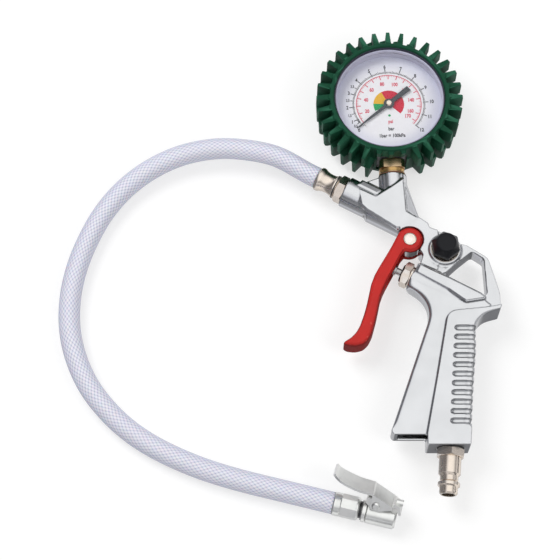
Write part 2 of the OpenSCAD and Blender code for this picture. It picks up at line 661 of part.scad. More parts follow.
// the hollow behind the front wall, down to where the lever turns solid
wall_line = [for (i = [0 : 4]) let (t = tangent(left_edge, i)) left_edge[i] + lever_wall * [-t[1], t[0]]];
module lever() {
    color([0.8, 0.2, 0.17]) difference() {
        slab(lever_pts, body_half + 0.1, lever_round);
        translate([0, 0, -ear_in]) linear_extrude(2 * ear_in) {
            polygon(concat([[wall_line[0][0], 32]], wall_line, [[56, -3.4], [62, -8], [80, 0], [84, 32]]));
            translate(hub) circle(r = ear_r + 0.4);
        }
        translate([hub_x, hub_y, 0]) rod(-20, 20, pin_r + run_gap);
    }
}
module lever_pin() {
    color([0.85, 0.83, 0.8]) translate([hub_x, hub_y, 0]) {
        rod(-body_half - 0.1, body_half + 0.1, pin_r);
        for (s = [0, 1]) mirror([0, 0, s]) translate([0, 0, body_half + 0.1 - e])
            cylinder(h = 0.35 + e, r1 = pin_r, r2 = pin_r - 0.8);
    }
}

// ---- valve ----
module valve_gland() {
    color([0.85, 0.83, 0.8]) at_valve() difference() {
        union() {
            nut(-gland_head - 0.03, -0.03, gland_flats);
            rod(-1, gland_bore_len - 0.5, gland_bore_r - seat_gap);
        }
        rod(-20, 20, rod_r + run_gap);
        rod(5, 20, 3.6 + seat_gap);
        // screwdriver slots in the face
        for (a = [0, 90]) rotate([0, 0, a]) translate([-7, -0.5, -gland_head - 1]) cube([14, 1, 1.7]);
    }
}
module valve_seal() {
    color([0.15, 0.15, 0.16]) at_valve() ring(5.05, 7.4, 3.6, rod_r + run_gap);
}
module valve_seat() {
    color([0.78, 0.62, 0.33]) at_valve() {
        ring(seat_depth - 4, seat_depth - 0.8, chamber_r - seat_gap, 2.8);
        ring(seat_depth - 0.8 - e, seat_depth, 3.4, 2.8);
    }
}
module valve_rod() {
    color([0.8, 0.79, 0.77]) at_valve() {
        rod(-rod_out + rod_r, seat_depth + 0.4, rod_r);
        translate([0, 0, -rod_out + rod_r]) sphere(r = rod_r);
        // guide collar on the outside
        rod(-10.4, -8.4, 2.9);
        rod(seat_depth, seat_depth + 4.2, 1.2);
    }
}
module valve_poppet() {
    color([0.16, 0.16, 0.17]) at_valve() ring(seat_depth + 0.42, seat_depth + 3.4, 3.95, 1.2 + seat_gap);
    color([0.16, 0.16, 0.17]) at_valve() ring(seat_depth + 0.05, seat_depth + 0.43, 3.95, rod_r + seat_gap);
}
module valve_spring() {
    color([0.6, 0.6, 0.62]) at_valve() coil(2.6, 0.4, seat_depth + 3.5, chamber_end - 0.1, 5);
}

// ---- air release button ----
module button_collar() {
    color([0.85, 0.83, 0.8]) at_button() difference() {
        union() {
            rod(2.4, boss_top + 0.3, collar_bore_r - seat_gap);
            rod(boss_top + 0.03, boss_top + 0.95, boss_top_r - 0.5);
            rod(boss_top + 0.9, boss_top + 4, collar_neck_r);
        }
        rod(0, 30, 1.7 + run_gap);
        rod(2, 5.5, 3.7);
        for (a = [0, 180]) rotate([0, 0, a + 40]) translate([2.6, 0, 0]) rod(0, 30, 0.7);
    }
}
button_low = boss_top + 0.95 + button_travel + 0.3;
module button() {
    color([0.14, 0.14, 0.15]) at_button() difference() {
        union() {
            rotate([0, 0, 8]) hex(button_low, button_low + 3.4, button_flats);
            intersection() {
                rotate([0, 0, 8]) hex(button_low + 3.3, button_low + 7, button_flats);
                translate([0, 0, button_low + 3.3]) cylinder(h = 3, r1 = button_flats / sqrt(3), r2 = 5.9);
            }
            rotate_extrude() polygon([[0, button_low + 4], [6.2, button_low + 4], [5.7, button_low + 7],
                [5.1, button_low + 7.7], [4.2, button_low + 8], [0, button_low + 8.1]]);
        }
        rod(0, boss_top + 4 + button_travel + 0.9, collar_neck_r + free_gap);
        rod(0, button_low + 6.4, 1.7 + seat_gap);
    }
}
module button_rod() {
    color([0.8, 0.79, 0.77]) at_button() {
        rod(0.2, button_low + 6.3, 1.7);
        rod(-1.2, 0.3, 1.2);
    }
}
module button_poppet() {
    color([0.16, 0.16, 0.17]) at_button() ring(-1.3, 1.9, 3.5, 1.7 + seat_gap);
    color([0.16, 0.16, 0.17]) at_button() rod(-1.6, -1.25, 2.4);
}
module button_spring() {
    color([0.6, 0.6, 0.62]) at_button() coil(3.2, 0.35, boss_top + 4.05,
        boss_top + 4 + button_travel + 0.85, 2);
}

// ---- gauge ----
module gauge_socket() {
    w = socket_w / 2;
    color([0.72, 0.56, 0.3]) {
        at_stem() difference() {
            union() {
                rod(socket_drop - gasket_t - 0.5, socket_drop + socket_len, socket_r);
                rotate_extrude() polygon([[0, 31], [neck_r, 31], [neck_r, case_r + 0.05],
                    [6.2, case_r + 0.05], [6.2, 38.6], [w, 39.2], [6.5, 40.6],
                    [6.3, 41.4], [7.6, 42], [7.6, socket_drop - gasket_t], [0, socket_drop - gasket_t]]);
                intersection() {
                    translate([-w, -w, 34.6]) cube([2 * w, 2 * w, 5]);
                    translate([0, 0, 34.6]) cylinder(h = 5, r = w * 1.22);
                }
            }
            rod(24, 70, 1.4);
        }
        // block inside the case that carries the tube and the movement
        at_gauge() intersection() {
            union() {
                translate([-8, -33, -5.6]) cube([16, 6, 10]);
                translate([-6.5, -28, -5.6]) cube([13, 14, 2.2]);
                translate([3, -28, -5.6]) cube([5, 5.4, 9]);
            }
            rod(-6, 6, case_r - case_wall - 0.1);
        }
    }
}
module gauge_gasket() {
    color([0.5, 0.12, 0.1]) at_stem() ring(socket_drop - gasket_t + 0.02, socket_drop - 0.02, 7.4,
        socket_r + seat_gap);
}
module gauge_case() {
    color([0.3, 0.3, 0.33]) at_gauge() difference() {
        rotate_extrude() polygon([[0, -case_back], [case_r - 1.5, -case_back], [case_r, -case_back + 1.5],
            [case_r, 13.2], [case_r - case_wall, 13.2], [case_r - case_wall, -case_back + 1.8],
            [case_r - 2, -case_back + case_wall], [0, -case_back + case_wall]]);
        along(0, 0, -90) rod(20, 60, neck_r + seat_gap);
        // vent in the back
        translate([0, 20, -20]) cylinder(h = 20, r = 2);
    }
}
tread = 360 / tread_count;
// z, core radius, tip radius, half width at foot and tip, shift in degrees
tread_steps = [
    [-case_back - boot_back_t, boot_core_r - 3.3, boot_core_r - 3, 1.4, 0.7, 1.5],
    [-12, boot_core_r - 1.1, boot_core_r - 0.8, 1.4, 0.7, 1.5],
    [-10.6, boot_core_r - 0.5, boot_core_r + 1.3, 0.9, 0.45, 1.5],
    [-4, boot_core_r, boot_tip_r - 1.4, 2.5, 1.5, 1.5],
    [4.2, boot_core_r, boot_tip_r, 3, 2.2, 1.5],
    [5.6, boot_core_r, boot_tip_r, 2.2, 1.5, -1.2],
    [13.6, boot_core_r, boot_tip_r - 0.1, 2.1, 1.4, -1.2],
    [14.8, boot_core_r - 0.2, boot_tip_r - 0.7, 1.9, 1.1, -1.2],
    [15.2, boot_core_r - 0.4, boot_core_r - 0.1, 1.8, 1, -1.2],
    [boot_front, boot_core_r - 2.3, boot_core_r - 2.2, 1.8, 1, -1.2]];
// the three treads over the stem stay short
function tip_of(k, s) = k >= tread_count - 1 || k <= 1 ?
    (s[0] > 12 && s[0] < 15 ? s[1] + 1.8 : s[1] + 0.1) : s[2];
function tread_ring(s) = at_z([for (k = [0 : tread_count - 1]) let (a = k * tread - 90 + s[5],
    t = tip_of(k, s))
    each [s[1] * [cos(a - s[3] / s[1] * 57.3), sin(a - s[3] / s[1] * 57.3)],
        t * [cos(a - s[4] / t * 57.3), sin(a - s[4] / t * 57.3)],
        t * [cos(a + s[4] / t * 57.3), sin(a + s[4] / t * 57.3)],
        s[1] * [cos(a + s[3] / s[1] * 57.3), sin(a + s[3] / s[1] * 57.3)]]], s[0]);
module gauge_boot() {
    color([0.14, 0.33, 0.24]) at_gauge() difference() {
        loft([for (s = tread_steps) tread_ring(s)], true);
        rod(-case_back - 0.03, 13.3, case_r + seat_gap);
        rod(0, 30, window_r);
        rod(-30, 0, case_r - 8.5);
        translate([-boot_notch_w / 2, -60, -8.6]) cube([boot_notch_w, 40, 17.2]);
    }
}
module gauge_spacer() {
    color([0.75, 0.75, 0.82]) at_gauge()
        ring(dial_top + 0.02, window_low - 0.02, case_r - case_wall - 0.05, case_r - 2.9);
}
module gauge_bezel() {
    color([0.75, 0.75, 0.82]) at_gauge()
        ring(window_low + window_t + 0.02, 13.2, case_r - case_wall - 0.05, case_r - 2.5);
}
module gauge_window() {
    color([0.8, 0.85, 0.9, 0.3]) at_gauge() rod(window_low, window_low + window_t,
        case_r - case_wall - 0.1);
}
module dial_plate() {
    color([0.94, 0.94, 0.96]) at_gauge() difference() {
        rod(dial_top - 0.8, dial_top, case_r - case_wall - 0.1);
        rod(0, 10, 1.5);
    }
}
// direction of a pressure on the dial, in bar: the scale is pressed together below 1 bar
function bar_dir(b) = b < 1 ? dial_zero - (dial_zero - dial_one) * b : dial_one - bar_step * (b - 1);
module ink(h = ink_t) { at_gauge() translate([0, 0, dial_top + 0.005]) linear_extrude(h) children(); }
module tick(b, r, len, w) { rotate(bar_dir(b)) translate([r, -w / 2]) square([len, w]); }
module arc_line(r, w) {
    a = bar_dir(bar_max);
    polygon(concat(arc([0, 0], r + w / 2, a, dial_zero, 60), arc([0, 0], r - w / 2, dial_zero, a, 60)));
}
module dial_bar_scale() {
    color([0.1, 0.1, 0.12]) ink() {
        for (b = [0 : bar_max]) tick(b, bar_r, tick_long, 0.32);
        for (b = [0 : bar_max - 1]) tick(b + 0.5, bar_r, tick_short, 0.16);
    }
}
module dial_psi_scale() {
    color([0.85, 0.2, 0.25]) ink() {
        arc_line(psi_r, 0.22);
        for (p = [20 : 10 : 170]) tick(p / psi_in_bar, psi_r - 2.4, 2.3, 0.3);
    }
}
module sector_ink(b0, b1) {
    ink() difference() {
        polygon(concat([[0, 0]], arc([0, 0], sector_r, bar_dir(b0), bar_dir(b1), 12)));
        circle(r = 2.2);
    }
}
module dial_green() {
    color([0.1, 0.65, 0.4]) {
        sector_ink(1, 2.34);
        ink() translate([0, -7.1]) circle(r = 0.7);
    }
}
module dial_yellow() { color([0.98, 0.82, 0.3]) sector_ink(2.36, 4.94); }
module dial_red() { color([0.9, 0.3, 0.35]) sector_ink(4.96, bar_max); }

// ---- movement ----
pin_pitch_r = pinion_teeth * gear_module / 2;
sec_pitch_r = sector_teeth * gear_module / 2;
sec_y = -(pin_pitch_r + sec_pitch_r);
module gear_tooth(r, a) {
    w = 0.2 * PI * gear_module;
    rotate(a) polygon([[r - 0.55, -w], [r, -w], [r + 0.3, -0.5 * w], [r + 0.3, 0.5 * w], [r, w],
        [r - 0.55, w]]);
}
module pinion() {
    color([0.8, 0.65, 0.35]) at_gauge() {
        rod(-2.9, dial_top + 2.2, arbor_r);
        translate([0, 0, -0.4]) linear_extrude(2) {
            circle(r = pin_pitch_r - 0.36);
            for (k = [0 : pinion_teeth - 1]) gear_tooth(pin_pitch_r, k * 360 / pinion_teeth + 15);
        }
    }
}
module sector_gear() {
    color([0.78, 0.62, 0.33]) at_gauge() translate([0, sec_y, 0]) {
        rod(-2.9, 3.7, arbor_r);
        translate([0, 0, 0.2]) linear_extrude(0.9) {
            difference() {
                polygon(concat([[-1.6, -1], [1.6, -1]], arc([0, 0], sec_pitch_r - 0.5, 36, 99, 10)));
                polygon(concat(arc([0, 0], 4.2, 55, 84, 3), arc([0, 0], sec_pitch_r - 2.6, 92, 43, 8)));
            }
            for (k = [-1 : 10]) gear_tooth(sec_pitch_r, 90 - k * 5);
            circle(r = 2);
            polygon([[1, -1.4], [-0.6, 1.6], [-8.9, -2.1], [-8.3, -4]]);
            translate([-8.4, -3.1]) circle(r = 1.3);
        }
    }
}
module frame_plate(z) {
    translate([0, 0, z]) linear_extrude(0.8) difference() {
        polygon(outline([[-9, -22.5, 1.5], [8.5, -22.5, 1.5], [9.5, 5, 2], [-9.5, 5, 2]]));
        circle(r = arbor_r + run_gap);
        translate([0, sec_y]) circle(r = arbor_r + run_gap);
    }
}
module movement_frame() {
    color([0.78, 0.62, 0.33]) at_gauge() {
        frame_plate(-3.36);
        frame_plate(3.2);
        for (p = [[-7.6, 3.2], [7.6, 3.2], [6.8, -20.6]]) translate([p[0], p[1], 0]) rod(-2.6, 3.3, 1);
        // screws into the dial
        for (x = [-7.6, 7.6]) translate([x, 3.2, 0]) rod(3.9, dial_top - 0.82, 0.9);
    }
}
module bourdon_tube() {
    h = tube_w / 2;
    t = tube_t / 2;
    color([0.75, 0.55, 0.3]) at_gauge() translate([0, 0, -1.4]) rotate([0, 0,
        -tube_from]) rotate_extrude(angle = tube_from + 181)
        polygon([[tube_ring_r - t, -h + 1], [tube_ring_r - 0.5 * t, -h], [tube_ring_r + 0.5 * t, -h],
            [tube_ring_r + t, -h + 1],
            [tube_ring_r + t, h - 1], [tube_ring_r + 0.5 * t, h], [tube_ring_r - 0.5 * t, h],
                [tube_ring_r - t, h - 1]]);
}
module tube_tip() {
    color([0.72, 0.56, 0.3]) at_gauge() rotate([0, 0, 181.2]) translate([tube_ring_r - 1.6, 0,
        -4]) cube([3.2, 2.4, 5.6]);
    color([0.72, 0.56, 0.3]) at_gauge() rotate([0, 0, 181.2]) translate([tube_ring_r - 4.6, 0.4,
        1.5]) cube([5.6, 1.8, 0.8]);
}
module gauge_link() {
    color([0.75, 0.75, 0.77]) at_gauge() translate([0, 0, 2.4]) linear_extrude(0.5)
        polygon([[-20.8, -1], [-22.4, -2.2], [-9.2, -18.9], [-7.6, -17.5]]);
}
module pointer() {
    color([0.2, 0.22, 0.24]) at_gauge() difference() {
        union() {
            translate([0, 0, dial_top + 0.9]) linear_extrude(0.5) rotate(dial_zero)
                polygon([[-pointer_tail, -1.35], [-2, -1.1], [0, -1.1], [pointer_tip, -0.2],
                    [pointer_tip, 0.2], [0, 1.1], [-2, 1.1], [-pointer_tail, 1.35]]);
            rod(dial_top + 0.9, dial_top + 1.4, 2.7);
        }
        rod(0, 20, arbor_r + seat_gap);
    }
}
module pointer_cap() {
    color([0.85, 0.75, 0.5]) at_gauge() difference() {
        translate([0, 0, dial_top + 1.42]) cylinder(h = 1.1, r1 = 1.9, r2 = 1.4);
        rod(0, dial_top + 2.24, arbor_r + seat_gap);
    }
}
spiral = [for (i = [0 : 36]) let (r = 1 + 0.11 * i) [r * cos(30 * i), r * sin(30 * i), 2.4]];
module hairspring() {
    color([0.6, 0.6, 0.63]) at_gauge() {
        tube(spiral, 0.11, 4);
        ring(2, 2.8, 1.05, arbor_r + run_gap);
    }
}

place() {
    body();
    inlet_plug();
    inlet_seal();
    outlet_fitting();
    outlet_ferrule();
    hose();
    chuck_ferrule();
    chuck_neck();
    chuck_body();
    chuck_seal();
    chuck_opener();
    chuck_rivet();
    chuck_lever();
    chuck_spring();
    lever();
    lever_pin();
    valve_gland();
    valve_seal();
    valve_seat();
    valve_rod();
    valve_poppet();
    valve_spring();
    button_collar();
    button();
    button_rod();
    button_poppet();
    button_spring();
    gauge_socket();
    gauge_gasket();
    gauge_case();
    gauge_boot();
    gauge_spacer();
    gauge_bezel();
    gauge_window();
    dial_plate();
    dial_bar_scale();
    dial_psi_scale();
    dial_green();
    dial_yellow();
    dial_red();
    bourdon_tube();
    tube_tip();
    gauge_link();
    movement_frame();
    sector_gear();
    pinion();
    pointer();
    pointer_cap();
    hairspring();
}
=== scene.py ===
"""A tyre inflator lying on its side: cast pistol, red lever, booted dial gauge,
braided hose and clip-on chuck. Metres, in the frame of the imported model."""

import json
import math

import bmesh
import bpy
from mathutils import Euler, Matrix, Vector

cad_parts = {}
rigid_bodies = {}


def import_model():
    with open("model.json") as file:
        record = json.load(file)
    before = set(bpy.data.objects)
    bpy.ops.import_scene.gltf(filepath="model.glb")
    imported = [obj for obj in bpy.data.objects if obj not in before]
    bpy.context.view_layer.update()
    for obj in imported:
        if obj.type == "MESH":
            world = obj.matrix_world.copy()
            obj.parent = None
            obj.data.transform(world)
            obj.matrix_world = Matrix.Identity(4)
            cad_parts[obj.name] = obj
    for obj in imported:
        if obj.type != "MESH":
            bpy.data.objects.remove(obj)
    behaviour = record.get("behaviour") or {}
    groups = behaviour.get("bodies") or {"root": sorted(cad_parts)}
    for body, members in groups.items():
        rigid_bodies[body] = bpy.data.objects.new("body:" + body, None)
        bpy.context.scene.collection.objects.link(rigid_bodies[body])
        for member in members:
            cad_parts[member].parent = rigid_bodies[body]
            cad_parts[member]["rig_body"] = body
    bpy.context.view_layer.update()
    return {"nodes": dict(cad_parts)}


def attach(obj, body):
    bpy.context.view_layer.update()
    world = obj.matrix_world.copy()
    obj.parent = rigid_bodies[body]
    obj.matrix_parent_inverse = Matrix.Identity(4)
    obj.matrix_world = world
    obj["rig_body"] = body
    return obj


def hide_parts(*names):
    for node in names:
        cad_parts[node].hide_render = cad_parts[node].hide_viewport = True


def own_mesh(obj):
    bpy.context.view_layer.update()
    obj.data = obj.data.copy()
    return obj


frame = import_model()
cad = frame["nodes"]
scene = bpy.context.scene
scene.view_settings.view_transform = "Standard"

MM = 0.001
UP = Vector((0, 0, 1))
# from the drawing, in mm about the pistol's middle plane, to the table's frame
DRAWING_SHIFT = Vector((-71.15, -12.5484, 13.6))


def at(x, y, z=0.0):
    """A place of the drawing, in the table's frame."""
    return (Vector((x, y, z)) + DRAWING_SHIFT) * MM


def heading(degrees):
    return Vector((math.cos(math.radians(degrees)), math.sin(math.radians(degrees)), 0))


def share_of(value):
    """A value kept between 0 and 1."""
    return min(1, max(0, value))


# slopes of the drawing's own axes, in degrees
BARREL_SLOPE = -28.5
VALVE_SLOPE = -25
CHUCK_SLOPE = -13.8
CHUCK_ROLL = 47
INLET_SLOPE = -95
GAUGE_TURN = 1.8
barrel_way = heading(BARREL_SLOPE)
valve_way = heading(VALVE_SLOPE)
chuck_way = heading(CHUCK_SLOPE)
inlet_way = heading(INLET_SLOPE)
stem_way = heading(GAUGE_TURN - 90)

# where the pieces stand, in drawing mm
BARREL_MOUTH = Vector((37.1, 53.5, 0))
VALVE_MOUTH = Vector((72.5, 1.85, 0))
BUTTON_FOOT = Vector((91.5, 15.2, 0))
LEVER_HUB = Vector((72.3, 21.7))
HOSE_END = Vector((28.5, -125, -7))
GAUGE_CENTRE = at(62.4, 105.6)
DIAL_TOP = 6.0


# ---- camera ----
CAMERA_HEIGHT_ANGLE = 69
CAMERA_DISTANCE = 1.0
LENS = 115.71


def make_camera():
    data = bpy.data.cameras.new("camera")
    data.lens = LENS
    data.sensor_width = 36
    data.clip_start = 0.01
    camera = bpy.data.objects.new("camera", data)
    rise = math.radians(CAMERA_HEIGHT_ANGLE)
    back = Vector((0, -math.cos(rise), math.sin(rise)))
    camera.location = at(0, 0) + CAMERA_DISTANCE * back
    camera.rotation_euler = Euler((math.pi / 2 - rise, 0, 0))
    scene.collection.objects.link(camera)
    scene.camera = camera


make_camera()


# ---- materials: nodes written as arithmetic ----
# the way towards the grip's foot
FOOT_WAY = Vector((0.35, -1, 0))


class Reading:
    """A node's output, for use in plain arithmetic."""

    def __init__(self, finish, socket):
        self.finish = finish
        self.socket = socket

    def other(self, out):
        """Another output of the same node."""
        return Reading(self.finish, self.socket.node.outputs[out])

    def arithmetic(self, operation, first, second):
        return self.finish.node("ShaderNodeMath", {"operation": operation}, {0: first, 1: second})

    def __add__(self, other):
        return self.arithmetic("ADD", self, other)

    def __sub__(self, other):
        return self.arithmetic("SUBTRACT", self, other)

    def __rsub__(self, other):
        return self.arithmetic("SUBTRACT", other, self)

    def __mul__(self, other):
        return self.arithmetic("MULTIPLY", self, other)

    __radd__ = __add__
    __rmul__ = __mul__


class Finish:
    """The nodes of one material, or of the world."""

    def __init__(self, owner):
        self.owner = owner
        owner.use_nodes = True
        self.tree = owner.node_tree
        self.tree.nodes.clear()

    def node(self, kind, settings=None, sockets=None, out=0):
        made = self.tree.nodes.new(kind)
        for key, value in (settings or {}).items():
            if key == "stops":
                elements = made.color_ramp.elements
                elements.remove(elements[1])
                for n, (place, colour) in enumerate(value):
                    stop = elements[0] if n == 0 else elements.new(place)
                    stop.position = place
                    stop.color = (*colour, 1)
            else:
                setattr(made, key, value)
        for key, value in (sockets or {}).items():
            socket = made.inputs[key]
            if isinstance(value, Reading):
                self.tree.links.new(value.socket, socket)
            elif socket.type == "RGBA":
                socket.default_value = (*value, 1)
            else:
                socket.default_value = value
        return Reading(self, made.outputs[out]) if made.outputs else None

    def place(self):
        return self.node("ShaderNodeTexCoord", out="Object")

    def noise(self, scale, detail=2.0):
        return self.node("ShaderNodeTexNoise", {},
                         {"Vector": self.place(), "Scale": scale, "Detail": detail})

    def span(self, value, low, high, to_low=0.0, to_high=1.0):
        return self.node("ShaderNodeMapRange", {},
                         {0: value, 1: low, 2: high, 3: to_low, 4: to_high})

    def mix(self, share, first, second):
        return self.node("ShaderNodeMix", {"data_type": "RGBA"}, {0: share, 6: first, 7: second}, 2)

    def larger(self, first, second):
        return self.node("ShaderNodeMath", {"operation": "MAXIMUM"}, {0: first, 1: second})

    def clouded(self, cloud, colour, dark, low=0.3):
        """The colour, a little darker in soft clouds."""
        return self.mix(self.span(cloud, low, 1 - low), darker(colour, dark), colour)

    def bump(self, height, depth, strength=1.0, under=None):
        sockets = {"Height": height, "Distance": depth, "Strength": strength}
        if under:
            sockets["Normal"] = under
        return self.node("ShaderNodeBump", {}, sockets)

    def pointed(self, low, high):
        """Where the skin's sharpness goes from low to high. A flat has 0.5."""
        return self.span(self.node("ShaderNodeNewGeometry", out="Pointiness"), low, high)

    def edge(self):
        """0 on flats and hollows, 1 on worn edges."""
        return self.pointed(0.52, 0.6)

    def hollow(self):
        """1 deep in corners and grooves, 0 on flats."""
        return self.pointed(0.49, 0.42)

    def reach(self, vector, way):
        """How far a vector reaches along a way."""
        return self.node("ShaderNodeVectorMath", {"operation": "DOT_PRODUCT"},
                         {0: vector, 1: tuple(way)}, "Value")

    def along(self, axis):
        """Distance along an axis, in metres."""
        return self.reach(self.place(), axis)

    def facing(self, way):
        return self.reach(self.node("ShaderNodeNewGeometry", out="Normal"), way)

    def steep(self):
        """1 on walls, 0 on what faces up or down."""
        upward = self.facing(UP)
        return self.span(upward * upward, 0.5, 0.12)

    def undersides(self):
        """1 on walls that face the grip's foot, where the casting gets painted shade."""
        return self.span(self.facing(FOOT_WAY), 0.85, 1.0)

    def coat_with(self, sockets):
        shader = self.node("ShaderNodeBsdfPrincipled", {}, sockets)
        self.node("ShaderNodeOutputMaterial", {}, {"Surface": shader})
        return self.owner

    def seen_plainly(self):
        """1 for what the camera sees itself or through the window, and 1 for mirrored rays."""
        path = self.node("ShaderNodeLightPath", out="Is Camera Ray")
        return self.larger(path, path.other("Is Transmission Ray")), path.other("Is Glossy Ray")


# the casting's colours: painted shade on its steep walls and on walls facing the grip's foot, grime
# and painted shade in its hollows, and its worn edges
WALL_SHADE_GREY = (0.3, 0.3, 0.31)
SHADED_GREY = (0.08, 0.085, 0.1)
HOLLOW_GRIME_AND_SHADE = (0.2, 0.205, 0.22)
WORN_BRIGHT = (0.93, 0.935, 0.94)
WORN_PLATING = (0.95, 0.94, 0.92)
THIN_PAINT = (0.8, 0.16, 0.12)
# milky core between the yarns, single yarns, crossings, and the painted shade at the hose's rim
PVC_DEEP = (0.40, 0.43, 0.58)
PVC_PALE = (0.48, 0.49, 0.62)
YARN = (0.68, 0.68, 0.79)
CROSSING = (0.86, 0.86, 0.93)
PVC_RIM_SHADE = (0.40, 0.44, 0.66)


def darker(colour, share):
    return tuple(c * share for c in colour)


def new_finish(name):
    return Finish(bpy.data.materials.new(name))


def polished_casting(name, colour):
    """Tumbled and polished die-cast aluminium: soft mottling, bright worn edges, painted shade on
    its walls and on the walls facing the grip's foot, and grime with painted shade in its hollows.
    """
    f = new_finish(name)
    cloud = f.noise(70, 3)
    grain = f.noise(1400, 3)
    patches = f.noise(260, 2)
    shaded = f.undersides()
    tone = f.clouded(cloud, colour, 0.93, 0.35)
    # painted shade: steep walls a darker grey
    tone = f.mix(f.steep() * 0.3, tone, WALL_SHADE_GREY)
    # painted shade: walls facing the grip's foot dark grey, and less metallic and rougher there
    tone = f.mix(shaded * 0.8, tone, SHADED_GREY)
    # grime and painted shade: darker grey deep in hollows and grooves
    tone = f.mix(f.hollow() * 0.7, tone, HOLLOW_GRIME_AND_SHADE)
    tone = f.mix(f.edge() * 0.7, tone, WORN_BRIGHT)
    rough = 0.12 + 0.08 * cloud + 0.05 * patches + 0.3 * shaded
    hills = f.bump(patches, 0.00006, 0.35)
    return f.coat_with({"Base Color": tone, "Metallic": 1.0 - 0.75 * shaded, "Roughness": rough,
                        "Normal": f.bump(grain, 0.00002, 0.3, hills)})


def turned_metal(name, colour, axis, rough=0.16, lines=2600.0, cut=0.00001):
    """Plated or plain metal turned on a lathe about an axis, with its fine rings and painted shade
    in its hollows.
    """
    f = new_finish(name)
    rings = f.node("ShaderNodeTexNoise", {"noise_dimensions": "1D"},
                   {"W": f.along(axis) * lines, "Scale": 1.0, "Detail": 2.0})
    cloud = f.noise(160)
    tone = f.clouded(cloud, colour, 0.9, 0.35)
    # painted shade: much darker in hollows
    tone = f.mix(f.hollow() * 0.7, tone, darker(colour, 0.3))
    tone = f.mix(f.edge() * 0.5, tone, WORN_PLATING)
    return f.coat_with({"Base Color": tone, "Metallic": 1.0,
                        "Roughness": rough + 0.12 * rings + 0.06 * cloud,
                        "Normal": f.bump(rings, cut, 0.5)})


def sprayed_paint(name, colour):
    """Glossy stove enamel with orange peel, thinner paint on the edges, and painted shade, dark
    red, on its walls.
    """
    f = new_finish(name)
    peel = f.noise(900)
    cloud = f.noise(90)
    wall_shade = f.steep()
    tone = f.clouded(cloud, colour, 0.9, 0.35)
    # painted shade: the lever's walls a dark red
    tone = f.mix(wall_shade * 0.85, tone, darker(colour, 0.3))
    tone = f.mix(f.edge() * 0.35, tone, THIN_PAINT)
    return f.coat_with({"Base Color": tone, "Roughness": 0.34 + 0.12 * cloud + 0.3 * wall_shade,
                        "Specular IOR Level": 0.24, "Coat Weight": 0.15 * (1.0 - wall_shade),
                        "Coat Roughness": 0.12, "Normal": f.bump(peel, 0.00005, 0.35)})


def moulded(name, colour, rough, worn, grain=1600.0, depth=0.00003, shine=0.25):
    """Rubber or plastic from a mould: fine grain, paler where it rubs."""
    f = new_finish(name)
    skin = f.noise(grain, 3)
    cloud = f.noise(120, 3)
    tone = f.clouded(cloud, colour, 0.82)
    tone = f.mix(f.edge() * 0.7, tone, worn)
    return f.coat_with({"Base Color": tone, "Roughness": rough + 0.12 * cloud,
                        "Specular IOR Level": shine, "Normal": f.bump(skin, depth, 0.5)})


def printed(name, colour, rough=0.5):
    """Screen-printed ink, very slightly uneven."""
    f = new_finish(name)
    cloud = f.noise(500, 3)
    return f.coat_with({"Base Color": f.clouded(cloud, colour, 0.94),
                        "Roughness": rough + 0.1 * cloud})


def dial_face(name, colour, rim):
    """A white dial with painted shade, lilac, towards the rim of its case."""
    f = new_finish(name)
    cloud = f.noise(500, 3)
    middle = GAUGE_CENTRE + DIAL_TOP * MM * UP
    reach = f.node("ShaderNodeVectorMath", {"operation": "DISTANCE"},
                   {0: f.place(), 1: tuple(middle)}, "Value")
    tone = f.clouded(cloud, colour, 0.97)
    # painted shade: lilac towards the case's rim
    tone = f.mix(f.span(reach, 20 * MM, 33 * MM), tone, rim)
    return f.coat_with({"Base Color": tone, "Roughness": 0.45 + 0.1 * cloud})


def clear_window(name):
    """Flat clear plastic: see-through, with its gloss from the angle it is seen at."""
    f = new_finish(name)
    scuffs = f.noise(700, 4)
    gloss = f.node("ShaderNodeFresnel", {}, {"IOR": 1.49})
    return f.coat_with({"Base Color": (0.97, 0.97, 1.0), "Metallic": 1.0,
                        "Roughness": 0.02 + 0.05 * scuffs, "Alpha": gloss * 0.35})


def braided_hose(name, threads, cells):
    """Milky PVC over a polyester braid. The mesh's own map runs round and along."""
    f = new_finish(name)
    turn = f.node("ShaderNodeSeparateXYZ", {}, {0: f.node("ShaderNodeUVMap", {"uv_map": "wrap"})})
    run = turn.other(1)

    def yarn(lean):
        phase = turn * threads + run * (cells * lean)
        saw = f.node("ShaderNodeMath", {"operation": "PINGPONG"}, {0: phase, 1: 0.5})
        return f.span(saw, 0.06, 0.3)

    left = yarn(1)
    right = yarn(-1)
    woven = f.larger(left, right)
    cloud = f.noise(60)
    tone = f.mix(woven, f.mix(cloud, PVC_DEEP, PVC_PALE), YARN)
    tone = f.mix(left * right, tone, CROSSING)
    # painted shade: darker and bluer where the hose turns away from the camera
    rim = f.node("ShaderNodeLayerWeight", {}, {"Blend": 0.3}, "Facing")
    tone = f.mix(rim * 0.75, tone, PVC_RIM_SHADE)
    return f.coat_with({"Base Color": tone, "Roughness": 0.32 + 0.1 * cloud,
                        "Coat Weight": 0.5, "Coat Roughness": 0.08,
                        "Subsurface Weight": 0.15, "Subsurface Scale": 0.002,
                        "Normal": f.bump(woven, 0.00012, 0.5)})


NICKEL = (0.86, 0.76, 0.66)
CHROME = (0.86, 0.87, 0.85)
BRASS = (0.60, 0.38, 0.15)
STEEL = (0.50, 0.49, 0.48)
BLACKENED = (0.10, 0.10, 0.105)

